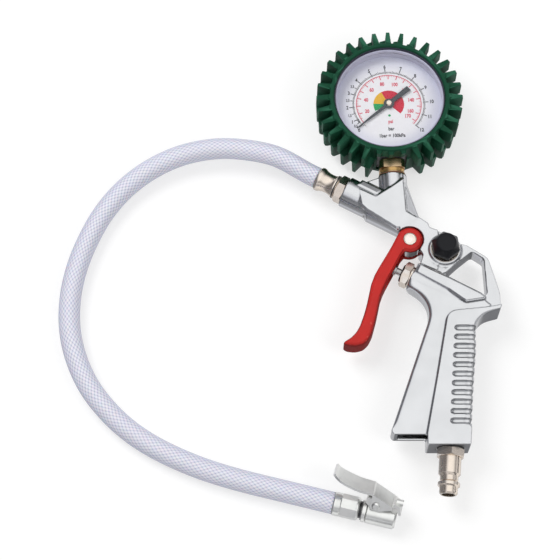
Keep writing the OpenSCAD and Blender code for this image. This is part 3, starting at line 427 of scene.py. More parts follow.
casting = polished_casting("polished_casting", (0.70, 0.71, 0.725))
red_paint = sprayed_paint("red_enamel", (0.56, 0.022, 0.018))
nickel_barrel = turned_metal("nickel_on_barrel", NICKEL, barrel_way)
nickel_valve = turned_metal("nickel_on_valve", NICKEL, valve_way)
nickel_inlet = turned_metal("nickel_on_inlet", NICKEL, inlet_way)
nickel_up = turned_metal("nickel_upright", NICKEL, UP)
satin_chrome = turned_metal("satin_chrome", CHROME, chuck_way, 0.24, lines=900.0, cut=0.000002)
brass_stem = turned_metal("brass_stem", BRASS, stem_way, 0.2)
brass_up = turned_metal("brass_upright", BRASS, UP, 0.2)
steel_valve = turned_metal("steel_on_valve", STEEL, valve_way, 0.2)
steel_up = turned_metal("steel_upright", STEEL, UP, 0.2)
dark_steel = turned_metal("blackened_steel", BLACKENED, chuck_way, 0.3)
green_rubber = moulded("green_rubber", (0.008, 0.064, 0.033), 0.45, (0.035, 0.15, 0.09),
                       shine=0.14)
black_rubber = moulded("black_rubber", (0.02, 0.02, 0.022), 0.6, (0.06, 0.06, 0.06))
red_fibre = moulded("red_fibre", (0.13, 0.05, 0.03), 0.75, (0.2, 0.09, 0.06), grain=3000.0)
knob_plastic = moulded("knob_plastic", (0.009, 0.0095, 0.012), 0.28, (0.02, 0.02, 0.024),
                       depth=0.00001, shine=0.2)
case_steel = moulded("enamelled_case", (0.05, 0.052, 0.058), 0.28, (0.2, 0.2, 0.2))
grey_trim = moulded("grey_trim", (0.48, 0.48, 0.68), 0.25, (0.7, 0.7, 0.78))
bezel_gloss = moulded("bezel_gloss", (0.02, 0.022, 0.04), 0.12, (0.06, 0.06, 0.09),
                      grain=400.0, depth=0.000002)
window_plastic = clear_window("clear_window")
# the dial's second colour is painted shade at its rim
dial_white = dial_face("dial_white", (0.95, 0.95, 0.98), (0.66, 0.68, 0.84))
ink_black = printed("ink_black", (0.02, 0.02, 0.03))
ink_red = printed("ink_red", (0.66, 0.02, 0.055))
ink_rose = printed("ink_rose", (0.74, 0.08, 0.14))
ink_green = printed("ink_green", (0.003, 0.37, 0.11))
ink_yellow = printed("ink_yellow", (0.88, 0.50, 0.035))
pointer_paint = printed("pointer_paint", (0.055, 0.065, 0.075), 0.4)
hose_pvc = braided_hose("braided_hose", threads=18, cells=12)


def piece_from(skin, name, body, material):
    """A new piece from a bmesh, riding on a body."""
    mesh = bpy.data.meshes.new(name)
    skin.to_mesh(mesh)
    skin.free()
    mesh.materials.append(material)
    piece = bpy.data.objects.new(name, mesh)
    scene.collection.objects.link(piece)
    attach(piece, body)
    return piece


def piece_for(node, skin, name, material):
    """A new piece on a CAD node's body, with the given material."""
    return piece_from(skin, name, cad[node]["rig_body"], material)


def change(piece, label, kind, **settings):
    """Give a piece a modifier."""
    made = piece.modifiers.new(label, kind)
    for key, value in settings.items():
        setattr(made, key, value)


def shape_of(piece):
    """The piece's mesh with its modifiers worked in."""
    bpy.context.view_layer.update()
    seen = piece.evaluated_get(bpy.context.evaluated_depsgraph_get())
    return bpy.data.meshes.new_from_object(seen)


def work_in(piece):
    """Work a piece's modifiers into its mesh for good."""
    piece.data = shape_of(piece)
    piece.modifiers.clear()


def cut_away(piece, block):
    mesh = bpy.data.meshes.new("cutter")
    block.to_mesh(mesh)
    block.free()
    cutter = bpy.data.objects.new("cutter", mesh)
    scene.collection.objects.link(cutter)
    change(piece, "cut", "BOOLEAN", operation="DIFFERENCE", object=cutter)
    work_in(piece)
    bpy.data.objects.remove(cutter)


def solid_of(node):
    """A CAD node's mesh as one closed skin."""
    skin = bmesh.new()
    skin.from_mesh(cad[node].data)
    bmesh.ops.remove_doubles(skin, verts=skin.verts, dist=1e-7)
    return skin


def loft(skin, rows, joined=False):
    """Skin rows of points, each a closed loop. The last row joins the first, or both get caps."""
    for row, other in zip(rows, rows[1:] + rows[:1] if joined else rows[1:]):
        for n in range(len(row)):
            m = (n + 1) % len(row)
            skin.faces.new((row[n], row[m], other[m], other[n]))
    if not joined:
        skin.faces.new(reversed(rows[0]))
        skin.faces.new(rows[-1])
    bmesh.ops.recalc_face_normals(skin, faces=skin.faces)
    return skin


def side_of(way):
    """A direction square to another."""
    return way.cross(UP if abs(way.z) < 0.9 else Vector((1, 0, 0))).normalized()


def lathe(foot, way, side, profile, sides):
    """A solid turned about an axis, from a closed loop of (radius, run along it) in mm."""
    across = way.cross(side)
    skin = bmesh.new()
    rows = []
    for turn in (2 * math.pi * k / sides for k in range(sides)):
        out = math.cos(turn) * side + math.sin(turn) * across
        rows.append([skin.verts.new(foot + MM * (rad * out + run * way)) for rad, run in profile])
    return loft(skin, rows, joined=True)


def turned(name, node, foot, way, profile, material):
    """A turned ring on a CAD node's body, crisp at its corners."""
    skin = lathe(foot, way, side_of(way), profile, 72)
    for face in skin.faces:
        face.smooth = True
    for edge in skin.edges:
        edge.smooth = edge.calc_face_angle() < math.radians(35)
    return piece_from(skin, name, cad[node]["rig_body"], material)


def prism(outline, low, high, chamfer=0.0):
    """A block on an outline in drawing mm. high gives its top's height at a place."""
    block = bmesh.new()
    rings = [[(x, y, low) for x, y in outline], [(x, y, high(x, y) - chamfer) for x, y in outline]]
    if chamfer:
        # the top's corners, moved inwards square to their two edges
        inner = []
        for n in range(len(outline)):
            before, here, after = (Vector(outline[(n + k) % len(outline)]) for k in (-1, 0, 1))
            one, two = (here - before).normalized(), (after - here).normalized()
            one, two = Vector((-one.y, one.x)), Vector((-two.y, two.x))
            inner.append(here + chamfer * (one + two) / (1 + one.dot(two)))
        rings.append([(x, y, high(x, y)) for x, y in inner])
    return loft(block, [[block.verts.new(at(*p)) for p in ring] for ring in rings])


def softened(node, name, material, voxel, rounds, share_kept, ease, ease_rounds, add=(),
             press=None):
    """A CAD solid with the rounded edges of a casting or a moulding. At a place in drawing mm,
    ease says from 0 to 1 how far it is rounded further, and press how deep a groove is there."""
    skin = solid_of(node)
    for block in add:
        extra = bpy.data.meshes.new("extra")
        block.to_mesh(extra)
        block.free()
        skin.from_mesh(extra)
    piece = piece_for(node, skin, name, material)
    change(piece, "even skin", "REMESH", mode="VOXEL", voxel_size=voxel * MM)
    work_in(piece)
    zone = piece.vertex_groups.new(name="eased")
    for vertex in piece.data.vertices:
        share = ease(*(vertex.co / MM - DRAWING_SHIFT))
        if share > 0:
            zone.add((vertex.index,), share, "REPLACE")
    change(piece, "rounded edges", "SMOOTH", factor=0.5, iterations=ease_rounds,
           vertex_group="eased")
    change(piece, "worn edges", "SMOOTH", factor=0.5, iterations=rounds)
    if press:
        work_in(piece)
        normals = [v.normal.copy() for v in piece.data.vertices]
        for vertex, out in zip(piece.data.vertices, normals):
            vertex.co -= out * press(*(vertex.co / MM - DRAWING_SHIFT)) * MM
    change(piece, "fewer faces", "DECIMATE", ratio=share_kept)
    work_in(piece)
    piece.vertex_groups.clear()
    piece.data.shade_smooth()
    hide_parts(node)


def eased(node, name, material, width=0.15, shift=None, crease=None):
    """A CAD solid with small bevels on its machined edges. shift moves its points first, and
    what then folds by more than crease degrees stays crisp."""
    skin = solid_of(node)
    if shift:
        for vert in skin.verts:
            vert.co = shift(vert.co)
        bmesh.ops.remove_doubles(skin, verts=skin.verts, dist=2e-5)
        bmesh.ops.dissolve_degenerate(skin, edges=skin.edges, dist=2e-5)
    bmesh.ops.dissolve_limit(skin, angle_limit=math.radians(0.5), verts=skin.verts,
                             edges=skin.edges)

    def sharper_than(degrees):
        return [e for e in skin.edges
                if len(e.link_faces) == 2 and e.calc_face_angle() > math.radians(degrees)]

    bmesh.ops.bevel(skin, geom=sharper_than(28), offset=width * MM, offset_type="OFFSET",
                    segments=2, profile=0.5, affect="EDGES", clamp_overlap=True)
    skin.edges.index_update()
    folds = [e.index for e in sharper_than(crease)] if crease else []
    piece = piece_for(node, skin, name, material)
    piece.data.shade_smooth()
    for n in folds:
        piece.data.edges[n].use_edge_sharp = True
    change(piece, "even light", "WEIGHTED_NORMAL", keep_sharp=True)
    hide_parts(node)
    return piece


def keep(node, material):
    """A CAD node that stays as it is, with its own finish."""
    for place in cad[node].material_slots:
        place.material = material


def tube(name, line, radius, sides, body, material):
    """A round tube along a line of points, closed at both ends."""
    skin = bmesh.new()
    wrap = skin.loops.layers.uv.new("wrap")
    rings = []
    runs = [0.0]
    side = None
    for n, point in enumerate(line):
        ahead = (line[min(n + 1, len(line) - 1)] - line[max(n - 1, 0)]).normalized()
        side = side or side_of(ahead)
        side = (side - ahead * side.dot(ahead)).normalized()
        across = ahead.cross(side)
        if n:
            runs.append(runs[-1] + (point - line[n - 1]).length)
        rings.append([skin.verts.new(point + radius * (math.cos(a) * side + math.sin(a) * across))
                      for a in (2 * math.pi * k / sides for k in range(sides))])
    for n in range(len(rings) - 1):
        near, far = rings[n], rings[n + 1]
        for k in range(sides):
            after = (k + 1) % sides
            face = skin.faces.new((near[k], near[after], far[after], far[k]))
            face.smooth = True
            marks = ((k, n), (k + 1, n), (k + 1, n + 1), (k, n + 1))
            for loop, (turn, ring) in zip(face.loops, marks):
                loop[wrap].uv = (turn / sides, runs[ring] / (2 * math.pi * radius))
    skin.faces.new(reversed(rings[0]))
    skin.faces.new(rings[-1])
    bmesh.ops.recalc_face_normals(skin, faces=skin.faces)
    return piece_from(skin, name, body, material)


COIL_STEPS = 20


def coil(node, name, foot, way, radius, wire, low, high, turns):
    """A wire spring about an axis that foot and way give. low and high are its ends along it,
    in mm."""
    side = side_of(way)
    across = way.cross(side)
    count = turns * COIL_STEPS
    line = []
    for n in range(count + 1):
        turn = 2 * math.pi * n / COIL_STEPS
        rise = low + wire + (high - low - 2 * wire) * n / count
        out = math.cos(turn) * side + math.sin(turn) * across
        line.append(foot + MM * (radius * out + rise * way))
    spring = tube(name, line, wire * MM, 10, cad[node]["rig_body"], steel_up)
    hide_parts(node)
    return spring


# ---- hose, first because it is a cord ----
HOSE_RADIUS = 6 * MM
HOSE_STEPS = 6
HOSE_SIDES = 48
FLOOR_Z = -7.6
HOSE_SEAT = 17.65
HOSE_START = BARREL_MOUTH - HOSE_SEAT * barrel_way
HOSE_WAY = [HOSE_START + 6 * barrel_way, HOSE_START, HOSE_START - 7 * barrel_way] + [
    Vector(p) for p in (
        (-2, 75.6, -0.3), (-20, 80.3, -1.3), (-38, 81.4, -2.6), (-56.5, 78, -4.1),
        (-73.3, 70.3, -5.6), (-88, 58.8, -6.7), (-99.7, 44.1, -7.3), (-108.2, 27.3, FLOOR_Z),
        (-114.1, 9.7, FLOOR_Z), (-117, -8.6, FLOOR_Z), (-116.4, -26.8, FLOOR_Z),
        (-112, -44.1, FLOOR_Z), (-104.5, -59.7, FLOOR_Z), (-94.4, -72.9, FLOOR_Z),
        (-83.1, -83.7, FLOOR_Z), (-70.8, -92.3, FLOOR_Z), (-58.2, -99, FLOOR_Z),
        (-45.6, -104.5, FLOOR_Z), (-32.5, -109.1, FLOOR_Z), (-18, -113.3, FLOOR_Z),
        (-3, -117.1, FLOOR_Z + 0.2))] + [
    HOSE_END - 9 * chuck_way, HOSE_END, HOSE_END + 8 * chuck_way]


def smooth_line(knots, steps):
    """An even curve through all but the first and last knot."""
    line = []
    for a, b, c, d in zip(knots, knots[1:], knots[2:], knots[3:]):
        for t in (k / steps for k in range(steps)):
            line.append(0.5 * (2 * b + (c - a) * t + (2 * a - 5 * b + 4 * c - d) * t ** 2
                               + (3 * b - a - 3 * c + d) * t ** 3))
    return line + [knots[-2]]


def make_hose():
    line = [at(*p) for p in smooth_line(HOSE_WAY, HOSE_STEPS)]
    hose = tube("hose_tube", line, HOSE_RADIUS, HOSE_SIDES, "pistol", hose_pvc)
    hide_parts("hose")


# the chuck's own axes: u along the hose, v towards the thumb plate, w across it
chuck_foot = at(*HOSE_END)
chuck_spin = Matrix.Rotation(math.radians(CHUCK_ROLL), 3, chuck_way)
chuck_place = (Matrix.Translation(chuck_foot)
               @ Matrix.Rotation(math.radians(CHUCK_SLOPE), 4, "Z")
               @ Matrix.Rotation(math.radians(CHUCK_ROLL), 4, "X"))
clip_way = chuck_spin @ UP.cross(chuck_way)
CLIP_RUN = 19.1
CLIP_SPRING_FOOT = 9.25
clip_foot = at(*(HOSE_END + CLIP_RUN * chuck_way))

# the thumb plate, in mm along u, v and w: all that lies above its height
PLATE_HEIGHT = 8
PLATE_HALF = 6.5
PLATE_MIDDLE = 3
# it is widened up to here, and narrows towards its end
WIDE_TO = 13.5
TAPER_FROM = 5
TAPER_LENGTH = 7
TAPER_DEPTH = 1.1
# its pressed bend, and the fold of the CAD lever that moves into one line
BEND_FROM = 8
BEND_TOP = 20.4
BEND_TO = 31
BEND_RISE = 1.1
FOLD_FROM = 16.5
FOLD_TO = 20
FOLD_LINE = 19.5


def widened_thumb(place):
    """The thumb plate keeps the lever's full width, narrows a little at its end and has a
    pressed bend half way, with no second fold before it."""
    u, v, w = (chuck_place.inverted() @ place) / MM
    if v > PLATE_HEIGHT:
        if u < WIDE_TO and abs(w) > PLATE_MIDDLE:
            half = PLATE_HALF - TAPER_DEPTH * share_of((TAPER_FROM - u) / TAPER_LENGTH) ** 2
            w = math.copysign(half, w)
        if FOLD_FROM < u < FOLD_TO:
            u = FOLD_LINE
        if BEND_FROM < u < BEND_TO:
            v += BEND_RISE * min((u - BEND_FROM) / (BEND_TOP - BEND_FROM),
                                 (BEND_TO - u) / (BEND_TO - BEND_TOP))
    return chuck_place @ (Vector((u, v, w)) * MM)


# closed loops of (radius, run from the barrel's mouth, the chuck's foot or the valve's mouth)
FERRULE = [(3.3, -5.15), (6.3, -5.15), (6.65, -5.5), (6.65, -6.9), (6.2, -7.4), (5.75, -8.6),
           (5.6, -10.4), (5.75, -12.4), (6.2, -14.0), (6.75, -15.0), (6.95, -16.0), (6.9, -17.0),
           (6.6, -17.5), (3.3, -17.5)]
FERRULE_RING = [(6.5, -5.6), (6.75, -5.6), (6.75, -6.3), (6.5, -6.3)]
CHUCK_FLANGE = [(5.3, 15.9), (6.05, 15.9), (6.3, 16.15), (6.3, 17.85), (5.3, 17.85)]
GLAND_WASHER = [(2.4, -5.4), (4.7, -5.4), (5.0, -5.1), (5.0, -4.66), (2.4, -4.66)]

barrel_foot = at(*BARREL_MOUTH)
ferrule = turned("hose_ferrule", "outlet_ferrule", barrel_foot, barrel_way, FERRULE, nickel_barrel)
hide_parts("outlet_ferrule")
clip_coil = coil("chuck_spring", "clip_coil", clip_foot, clip_way, radius=1.2, wire=0.3,
                 low=CLIP_SPRING_FOOT, high=12.2, turns=3)
hose_fittings = [
    ferrule,
    turned("ferrule_ring", "outlet_ferrule", barrel_foot, barrel_way, FERRULE_RING, black_rubber),
    eased("chuck_ferrule", "chuck_sleeve", satin_chrome),
    eased("chuck_neck", "chuck_nipple", dark_steel, 0.12),
    eased("chuck_body", "chuck_block", satin_chrome, 0.2),
    turned("chuck_flange", "chuck_body", chuck_foot, chuck_way, CHUCK_FLANGE, satin_chrome),
    eased("chuck_rivet", "clip_rivet", satin_chrome, 0.12),
    eased("chuck_lever", "clip_lever", satin_chrome, shift=widened_thumb, crease=8),
    clip_coil,
    cad["chuck_opener"],
    cad["chuck_seal"],
]
make_hose()


# ---- pistol: outlines and places in drawing mm ----
PANEL_PLATE = [(43.9, 48.5), (44.9, 41.9), (47.5, 39.3), (65.3, 28.0), (72, 30), (78.6, 34.2),
               (71.2, 38.6), (69.9, 59), (68.6, 58.4), (61.9, 53.4), (53.6, 47.9), (43.7, 52.9)]
VALVE_RIB = [(74.4, 1.3), (82.6, -3.4), (92.3, -9), (98.8, -13.9), (102, -16.1), (112.3, -14.4),
             (113.2, -12.8), (110.5, -10.4), (92.9, -0.9), (77.2, 7)]
RIB_FOOT = [(86, -24), (88, -5), (99, -13.5), (112, -14.2), (115.8, -17.3), (112, -20), (95, -23)]
BOSS_FOOT = [(83, 3), (84, 12), (92, 14), (99.5, 9.2), (91.6, 2.0), (88, 1)]
BARREL_SIDE = Vector((-barrel_way.y, barrel_way.x, 0))
SHOULDER_EDGE = 8.5
BARREL_SHOULDER = [
    tuple((BARREL_MOUTH + run * barrel_way + off * BARREL_SIDE).to_2d())
    for run, off in ((5, 3.6), (17.6, 3.6), (20.3, SHOULDER_EDGE), (6, SHOULDER_EDGE))]
EAR_OUTER = 8.6
EAR_INNER = 7.65
EAR_COLLAR = [
    tuple(LEVER_HUB + radius * heading(angle).to_2d())
    for radius, angles in ((EAR_OUTER, range(-40, 131, 10)), (EAR_INNER, range(130, -41, -10)))
    for angle in angles]
# half the thickness of the casting round the hub, and of its flats beside rib and boss
HUB_HALF = 7.35
FLAT_HALF = 6.9
RIB_TOP = 9.5
# lines of the drawing: a place on each, and how far it leans a mm
RIB_LINE = (82.6, -8.4)
RIB_LEAN = 0.65
FRONT_EDGE = (80.7, -18.4)
FRONT_LEAN = 0.285
BACK_EDGE = (103, -28)
BACK_LEAN = 0.08
# where the palm block starts, and the feet of block and grip
PALM_BLOCK = 100
PALM_FOOT = -20
GRIP_FOOT = -87.5

GROOVES = 11
GROOVE_TOP = -31.2
GROOVE_PITCH = 5.27
GROOVE_START = 96.6
GROOVE_LEAN = -0.42
GROOVE_HALF = 1.45
GROOVE_DEPTH = 1.35


def panel_height(x, y):
    """The plate between barrel and gauge rises towards its notched edge."""
    return 7.3 + 1.9 * share_of((y - 29) / 14)


def shoulder_height(x, y):
    """The barrel's flank falls away towards the gauge."""
    return 7.25 + 0.3 * (SHOULDER_EDGE - (Vector((x, y, 0)) - BARREL_MOUTH).dot(BARREL_SIDE))


def grip_ease(x, y, z):
    """Rounder on the grip's front and back edges, below the valve's rib and above the foot."""
    top = RIB_LINE[1] - RIB_LEAN * (x - RIB_LINE[0]) if x < PALM_BLOCK else PALM_FOOT
    front = (8 - x + FRONT_EDGE[0] + FRONT_LEAN * (y - FRONT_EDGE[1])) / 3
    back = (x - BACK_EDGE[0] - BACK_LEAN * (y - BACK_EDGE[1])) / 1.5
    inside = share_of((top - y) / 4) * share_of(max(front, back))
    return inside * share_of((y - GRIP_FOOT) / 4)


def lever_ease(x, y, z):
    """Rounder towards the lever's tip."""
    return share_of((4 - y) / 16)


def groove_depth(x, y, z):
    """Finger grooves, which run round the grip's back edge."""
    n = round((GROOVE_TOP - y) / GROOVE_PITCH)
    if not 0 <= n < GROOVES:
        return 0
    start = GROOVE_START + n * GROOVE_LEAN
    off = abs(y - GROOVE_TOP + n * GROOVE_PITCH)
    if x < start:
        off = math.hypot(off, x - start)
    return GROOVE_DEPTH * math.sqrt(1 - (off / GROOVE_HALF) ** 2) if off < GROOVE_HALF else 0


def level(height):
    return lambda x, y: height


softened("body", "cast_body", casting, voxel=0.4, rounds=4, share_kept=0.66,
         ease=grip_ease, ease_rounds=170, press=groove_depth, add=[
             prism(PANEL_PLATE, 0, panel_height, 1.2),
             prism(VALVE_RIB, 0, level(RIB_TOP), 1.2),
             prism(EAR_COLLAR, -HUB_HALF, level(HUB_HALF)),
             prism(RIB_FOOT, -FLAT_HALF, level(FLAT_HALF)),
             prism(BOSS_FOOT, -FLAT_HALF, level(FLAT_HALF)),
             prism(BARREL_SHOULDER, 0, shoulder_height, 0.8)])
softened("lever", "squeeze_lever", red_paint, voxel=0.3, rounds=9, share_kept=0.4,
         ease=lever_ease, ease_rounds=110)


# ---- gauge: places in mm about the middle of its case, turned as it stands ----
def on_dial(x, y, z=DIAL_TOP):
    spun = Matrix.Rotation(math.radians(GAUGE_TURN), 3, "Z") @ Vector((x, y, z))
    return GAUGE_CENTRE + MM * spun


def ring_solid(profile):
    """A ring round the gauge's axis, from a closed loop of (radius, height)."""
    return lathe(GAUGE_CENTRE, UP, heading(GAUGE_TURN), profile, 128)


TREADS = 32
TREAD_LEAN = 2.4
TREAD_LEAN_BACK = -1.4
# height, core radius, tip radius, half width at foot and tip, turn in degrees
BOOT_RINGS = [
    (-13.6, 32.4, 32.7, 1.3, 0.4, TREAD_LEAN), (-12.9, 33.8, 36.0, 1.4, 0.4, TREAD_LEAN),
    (-11.2, 34.7, 39.6, 1.8, 0.5, TREAD_LEAN), (-8.5, 34.9, 41.2, 2.3, 0.8, TREAD_LEAN),
    (4.2, 35.1, 41.6, 2.6, 1.4, TREAD_LEAN), (5.3, 34.4, 41.7, 2.0, 1.05, TREAD_LEAN_BACK),
    (14.9, 34.2, 41.7, 1.9, 1.0, TREAD_LEAN_BACK), (15.8, 34.1, 41.0, 1.8, 0.95, TREAD_LEAN_BACK),
    (16.0, 34.1, 35.3, 1.8, 0.9, TREAD_LEAN_BACK), (16.6, 33.7, 34.5, 1.7, 0.9, TREAD_LEAN_BACK)]
# the treads over the socket are left off, but for low ones between two heights
SOCKET_TREADS = (TREADS - 1, 0, 1)
LOW_TREAD = 1.8
LOW_TREAD_FROM = 9
LOW_TREAD_TO = 15.5
NO_TREAD = 0.1
BOOT_BORE = [(0.01, -15), (25, -15), (25, -12.33), (33.53, -12.33), (33.53, 13.3), (31.6, 13.3),
             (31.6, 16.0), (32.3, 16.7), (32.3, 18), (0.01, 18)]
SOCKET_NOTCH = (17 * MM, 40 * MM, 17.2 * MM, 1)
LINER = [(31.0, 12.26), (31.55, 12.26), (31.55, 15.4), (31.4, 15.7), (31.15, 15.7), (31.0, 15.4)]
WINDOW_RING = [(30.0, 12.26), (30.95, 12.26), (30.95, 14.1), (30.7, 14.35), (30.2, 14.3),
               (30.0, 14.05)]


def make_boot():
    """Core and treads as one skin, bored out and notched for the socket."""
    skin = bmesh.new()
    rings = []
    for height, core, tip, foot_half, tip_half, turn in BOOT_RINGS:
        ring = []
        for k in range(TREADS):
            middle = k * 360 / TREADS - 90 + turn
            reach = tip
            if k in SOCKET_TREADS:
                reach = core + (LOW_TREAD if LOW_TREAD_FROM < height < LOW_TREAD_TO else NO_TREAD)
            for radius, half in ((core, -foot_half), (reach, -tip_half),
                                 (reach, tip_half), (core, foot_half)):
                place = heading(middle + math.degrees(half / radius)) * radius
                ring.append(skin.verts.new(on_dial(place.x, place.y, height)))
        rings.append(ring)
    boot = piece_for("gauge_boot", loft(skin, rings), "gauge_boot_skin", green_rubber)
    cut_away(boot, ring_solid(BOOT_BORE))
    notch = bmesh.new()
    bmesh.ops.create_cube(notch, size=1, matrix=Matrix.Translation(on_dial(0, -40, 0))
                          @ Matrix.Rotation(math.radians(GAUGE_TURN), 4, "Z")
                          @ Matrix.Diagonal(SOCKET_NOTCH))
    cut_away(boot, notch)
    change(boot, "moulded edges", "BEVEL", width=0.35 * MM, segments=2, limit_method="ANGLE",
           angle_limit=math.radians(32))
    work_in(boot)
    boot.data.shade_smooth()
    change(boot, "even light", "WEIGHTED_NORMAL", keep_sharp=True)
    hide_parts("gauge_boot")


def make_liner():
    """Glossy dark wall between the window and the boot's lip, with a pale ring inside it."""
    piece_from(ring_solid(LINER), "bezel_liner", "pistol", bezel_gloss)
    piece_from(ring_solid(WINDOW_RING), "window_ring", "pistol", grey_trim)


KNOB_LOW = 11.45
KNOB_SIDES = 72
KNOB_TURN = math.radians(8)
# height, reach to the corners, and how round the hexagon is there
KNOB_ROWS = [(0, 7.9, 0), (0.4, 8.3, 0), (2.7, 8.3, 0), (3.6, 7.9, 0.1), (5.2, 6.6, 0.75),
             (6.9, 5.75, 1), (7.6, 5.3, 1), (7.95, 4.6, 1), (8.1, 3.2, 1)]
KNOB_BORE = [(0.01, 5), (4.2, 5), (4.2, 16.2), (0.01, 16.2)]


def make_knob():
    """Tapered hexagonal push cap with a round crown."""
    skin = bmesh.new()
    rows = []
    for height, corner, roundness in KNOB_ROWS:
        row = []
        for k in range(KNOB_SIDES):
            turn = 2 * math.pi * k / KNOB_SIDES
            off = (turn - KNOB_TURN + math.pi / 6) % (math.pi / 3) - math.pi / 6
            flat = math.cos(math.pi / 6) / math.cos(off)
            reach = corner * (flat + (1 - flat) * roundness)
            out = Vector((math.cos(turn), math.sin(turn), 0))
            row.append(skin.verts.new(at(*(BUTTON_FOOT + reach * out + (KNOB_LOW + height) * UP))))
        rows.append(row)
    knob = piece_for("button", loft(skin, rows), "push_cap", knob_plastic)
    cut_away(knob, lathe(button_foot, UP, heading(0), KNOB_BORE, 48))
    for face in knob.data.polygons:
        face.use_smooth = True
    knob.data.set_sharp_from_angle(angle=math.radians(24))
    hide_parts("button")


valve_foot = at(*VALVE_MOUTH)
button_foot = at(*BUTTON_FOOT)
make_boot()
make_liner()
make_knob()
eased("lever_pin", "pivot_pin", nickel_up)
eased("valve_gland", "gland_nut", nickel_valve, 0.12)
eased("valve_rod", "valve_stem", steel_valve, 0.1)
turned("gland_washer", "valve_gland", valve_foot, valve_way, GLAND_WASHER, black_rubber)
eased("button_collar", "release_collar", nickel_up, 0.12)
eased("inlet_plug", "coupling_plug", nickel_inlet, 0.18)
eased("outlet_fitting", "hose_nut", nickel_barrel)
eased("gauge_socket", "gauge_stem", brass_stem)
eased("pointer_cap", "pointer_boss", nickel_up, 0.1)

# CAD nodes that show as they are
FINISHES = {
    "inlet_seal": black_rubber, "chuck_seal": black_rubber, "chuck_opener": brass_up,
    "valve_seal": black_rubber, "valve_seat": brass_up, "valve_poppet": black_rubber,
    "button_rod": steel_up, "button_poppet": black_rubber, "gauge_gasket": red_fibre,
    "gauge_case": case_steel, "gauge_spacer": grey_trim, "gauge_bezel": bezel_gloss,
    "gauge_window": window_plastic, "dial_plate": dial_white, "dial_green": ink_green,
    "dial_yellow": ink_yellow, "dial_red": ink_red, "bourdon_tube": brass_up,
    "tube_tip": brass_up, "gauge_link": steel_up, "movement_frame": brass_up,
    "sector_gear": brass_up, "pinion": brass_up}
for node, material in FINISHES.items():
    keep(node, material)


# ---- springs: each one smooth wire in the place of its CAD coil ----
VALVE_SPRING_END = 31.9
BUTTON_SPRING_FOOT = 12.65
valve_coil = coil("valve_spring", "valve_coil", valve_foot, valve_way, radius=2.6, wire=0.4,
                  low=21.5, high=VALVE_SPRING_END, turns=6)
button_coil = coil("button_spring", "release_coil", button_foot, UP, radius=3.2, wire=0.35,
                   low=BUTTON_SPRING_FOOT, high=15.05, turns=2)
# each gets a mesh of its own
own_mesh(valve_coil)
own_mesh(button_coil)
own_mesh(clip_coil)


HAIR_TURNS = 3
HAIR_STEPS = 48
HAIR_GROWTH = 0.0275
HAIR_HEIGHT = 2.4
HAIR_RADIUS = 0.11 * MM


def make_hairspring():
    """A flat spiral under the dial, which grows a little at each step."""
    line = []
    for n in range(HAIR_TURNS * HAIR_STEPS + 1):
        out = heading(360 / HAIR_STEPS * n) * (1 + HAIR_GROWTH * n)
        line.append(on_dial(out.x, out.y, HAIR_HEIGHT))
    spring = tube("hair_coil", line, HAIR_RADIUS, 8, "pistol", steel_up)
    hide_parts("hairspring")


make_hairspring()


# ---- dial print: directions in degrees, sizes in mm ----
DIAL_ZERO = 218.5
DIAL_ONE = 206.5
BAR_STEP = 22.7
BAR_MAX = 12
PSI_IN_BAR = 14.504
BAR_RADIUS = 20.2
PSI_RADIUS = 18.6
INK_LOW = DIAL_TOP + 0.005
INK_TOP = DIAL_TOP + 0.1
PRINT_HEIGHT = DIAL_TOP + 0.06


def bar_direction(bar):
    if bar < 1:
        return DIAL_ZERO - (DIAL_ZERO - DIAL_ONE) * bar
    return DIAL_ONE - BAR_STEP * (bar - 1)


def add_plate(skin, outline, low=INK_LOW, high=INK_TOP):
    """A flat piece of ink or sheet, from its outline."""
    foot = [skin.verts.new(on_dial(p.x, p.y, low)) for p in outline]
    top = [skin.verts.new(on_dial(p.x, p.y, high)) for p in outline]
    skin.faces.new(reversed(foot))
    skin.faces.new(top)
    for a in range(len(outline)):
        b = (a + 1) % len(outline)
        skin.faces.new((foot[a], foot[b], top[b], top[a]))


def add_mark(skin, direction, start, length, width):
    out = heading(direction)
    side = Vector((-out.y, out.x, 0)) * width / 2
    add_plate(skin, (out * start - side, out * (start + length) - side,
                     out * (start + length) + side, out * start + side))


def add_arc(skin, radius, width):
    """A line round the scale, from its zero to its end."""
    turns = [DIAL_ZERO + (bar_direction(BAR_MAX) - DIAL_ZERO) * n / 120 for n in range(121)]
    rim = [heading(a) * (radius + width / 2) for a in turns]
    add_plate(skin, rim + [heading(a) * (radius - width / 2) for a in reversed(turns)])


def bar_mark(tenths):
    """How far inside its arc a mark starts, its length and its width."""
    if tenths % 10 == 0:
        return 0.5, 3.1, 0.42
    if tenths % 5 == 0:
        return (0.3, 2.2, 0.36) if tenths < 40 else (0.3, 1.5, 0.26)
    return 0.3, 1.1, 0.26


def make_bar_scale():
    skin = bmesh.new()
    add_arc(skin, BAR_RADIUS, 0.14)
    for tenths in (*range(5, 10 * BAR_MAX + 1), 0):
        inside, length, width = bar_mark(tenths)
        add_mark(skin, bar_direction(tenths / 10), BAR_RADIUS - inside, length, width)
    scale = piece_from(skin, "bar_marks", "pistol", ink_black)
    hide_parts("dial_bar_scale")


def make_psi_scale():
    skin = bmesh.new()
    add_arc(skin, PSI_RADIUS, 0.38)
    for psi in range(12, 175, 2):
        inside, length, width = (2.5, 2.4, 0.46) if psi % 10 == 0 else (1.0, 0.9, 0.16)
        add_mark(skin, bar_direction(psi / PSI_IN_BAR), PSI_RADIUS - inside, length, width)
    scale = piece_from(skin, "psi_marks", "pistol", ink_rose)
    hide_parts("dial_psi_scale")


# height of a capital in the plain font, for a size of 1
CAPITAL = 0.73


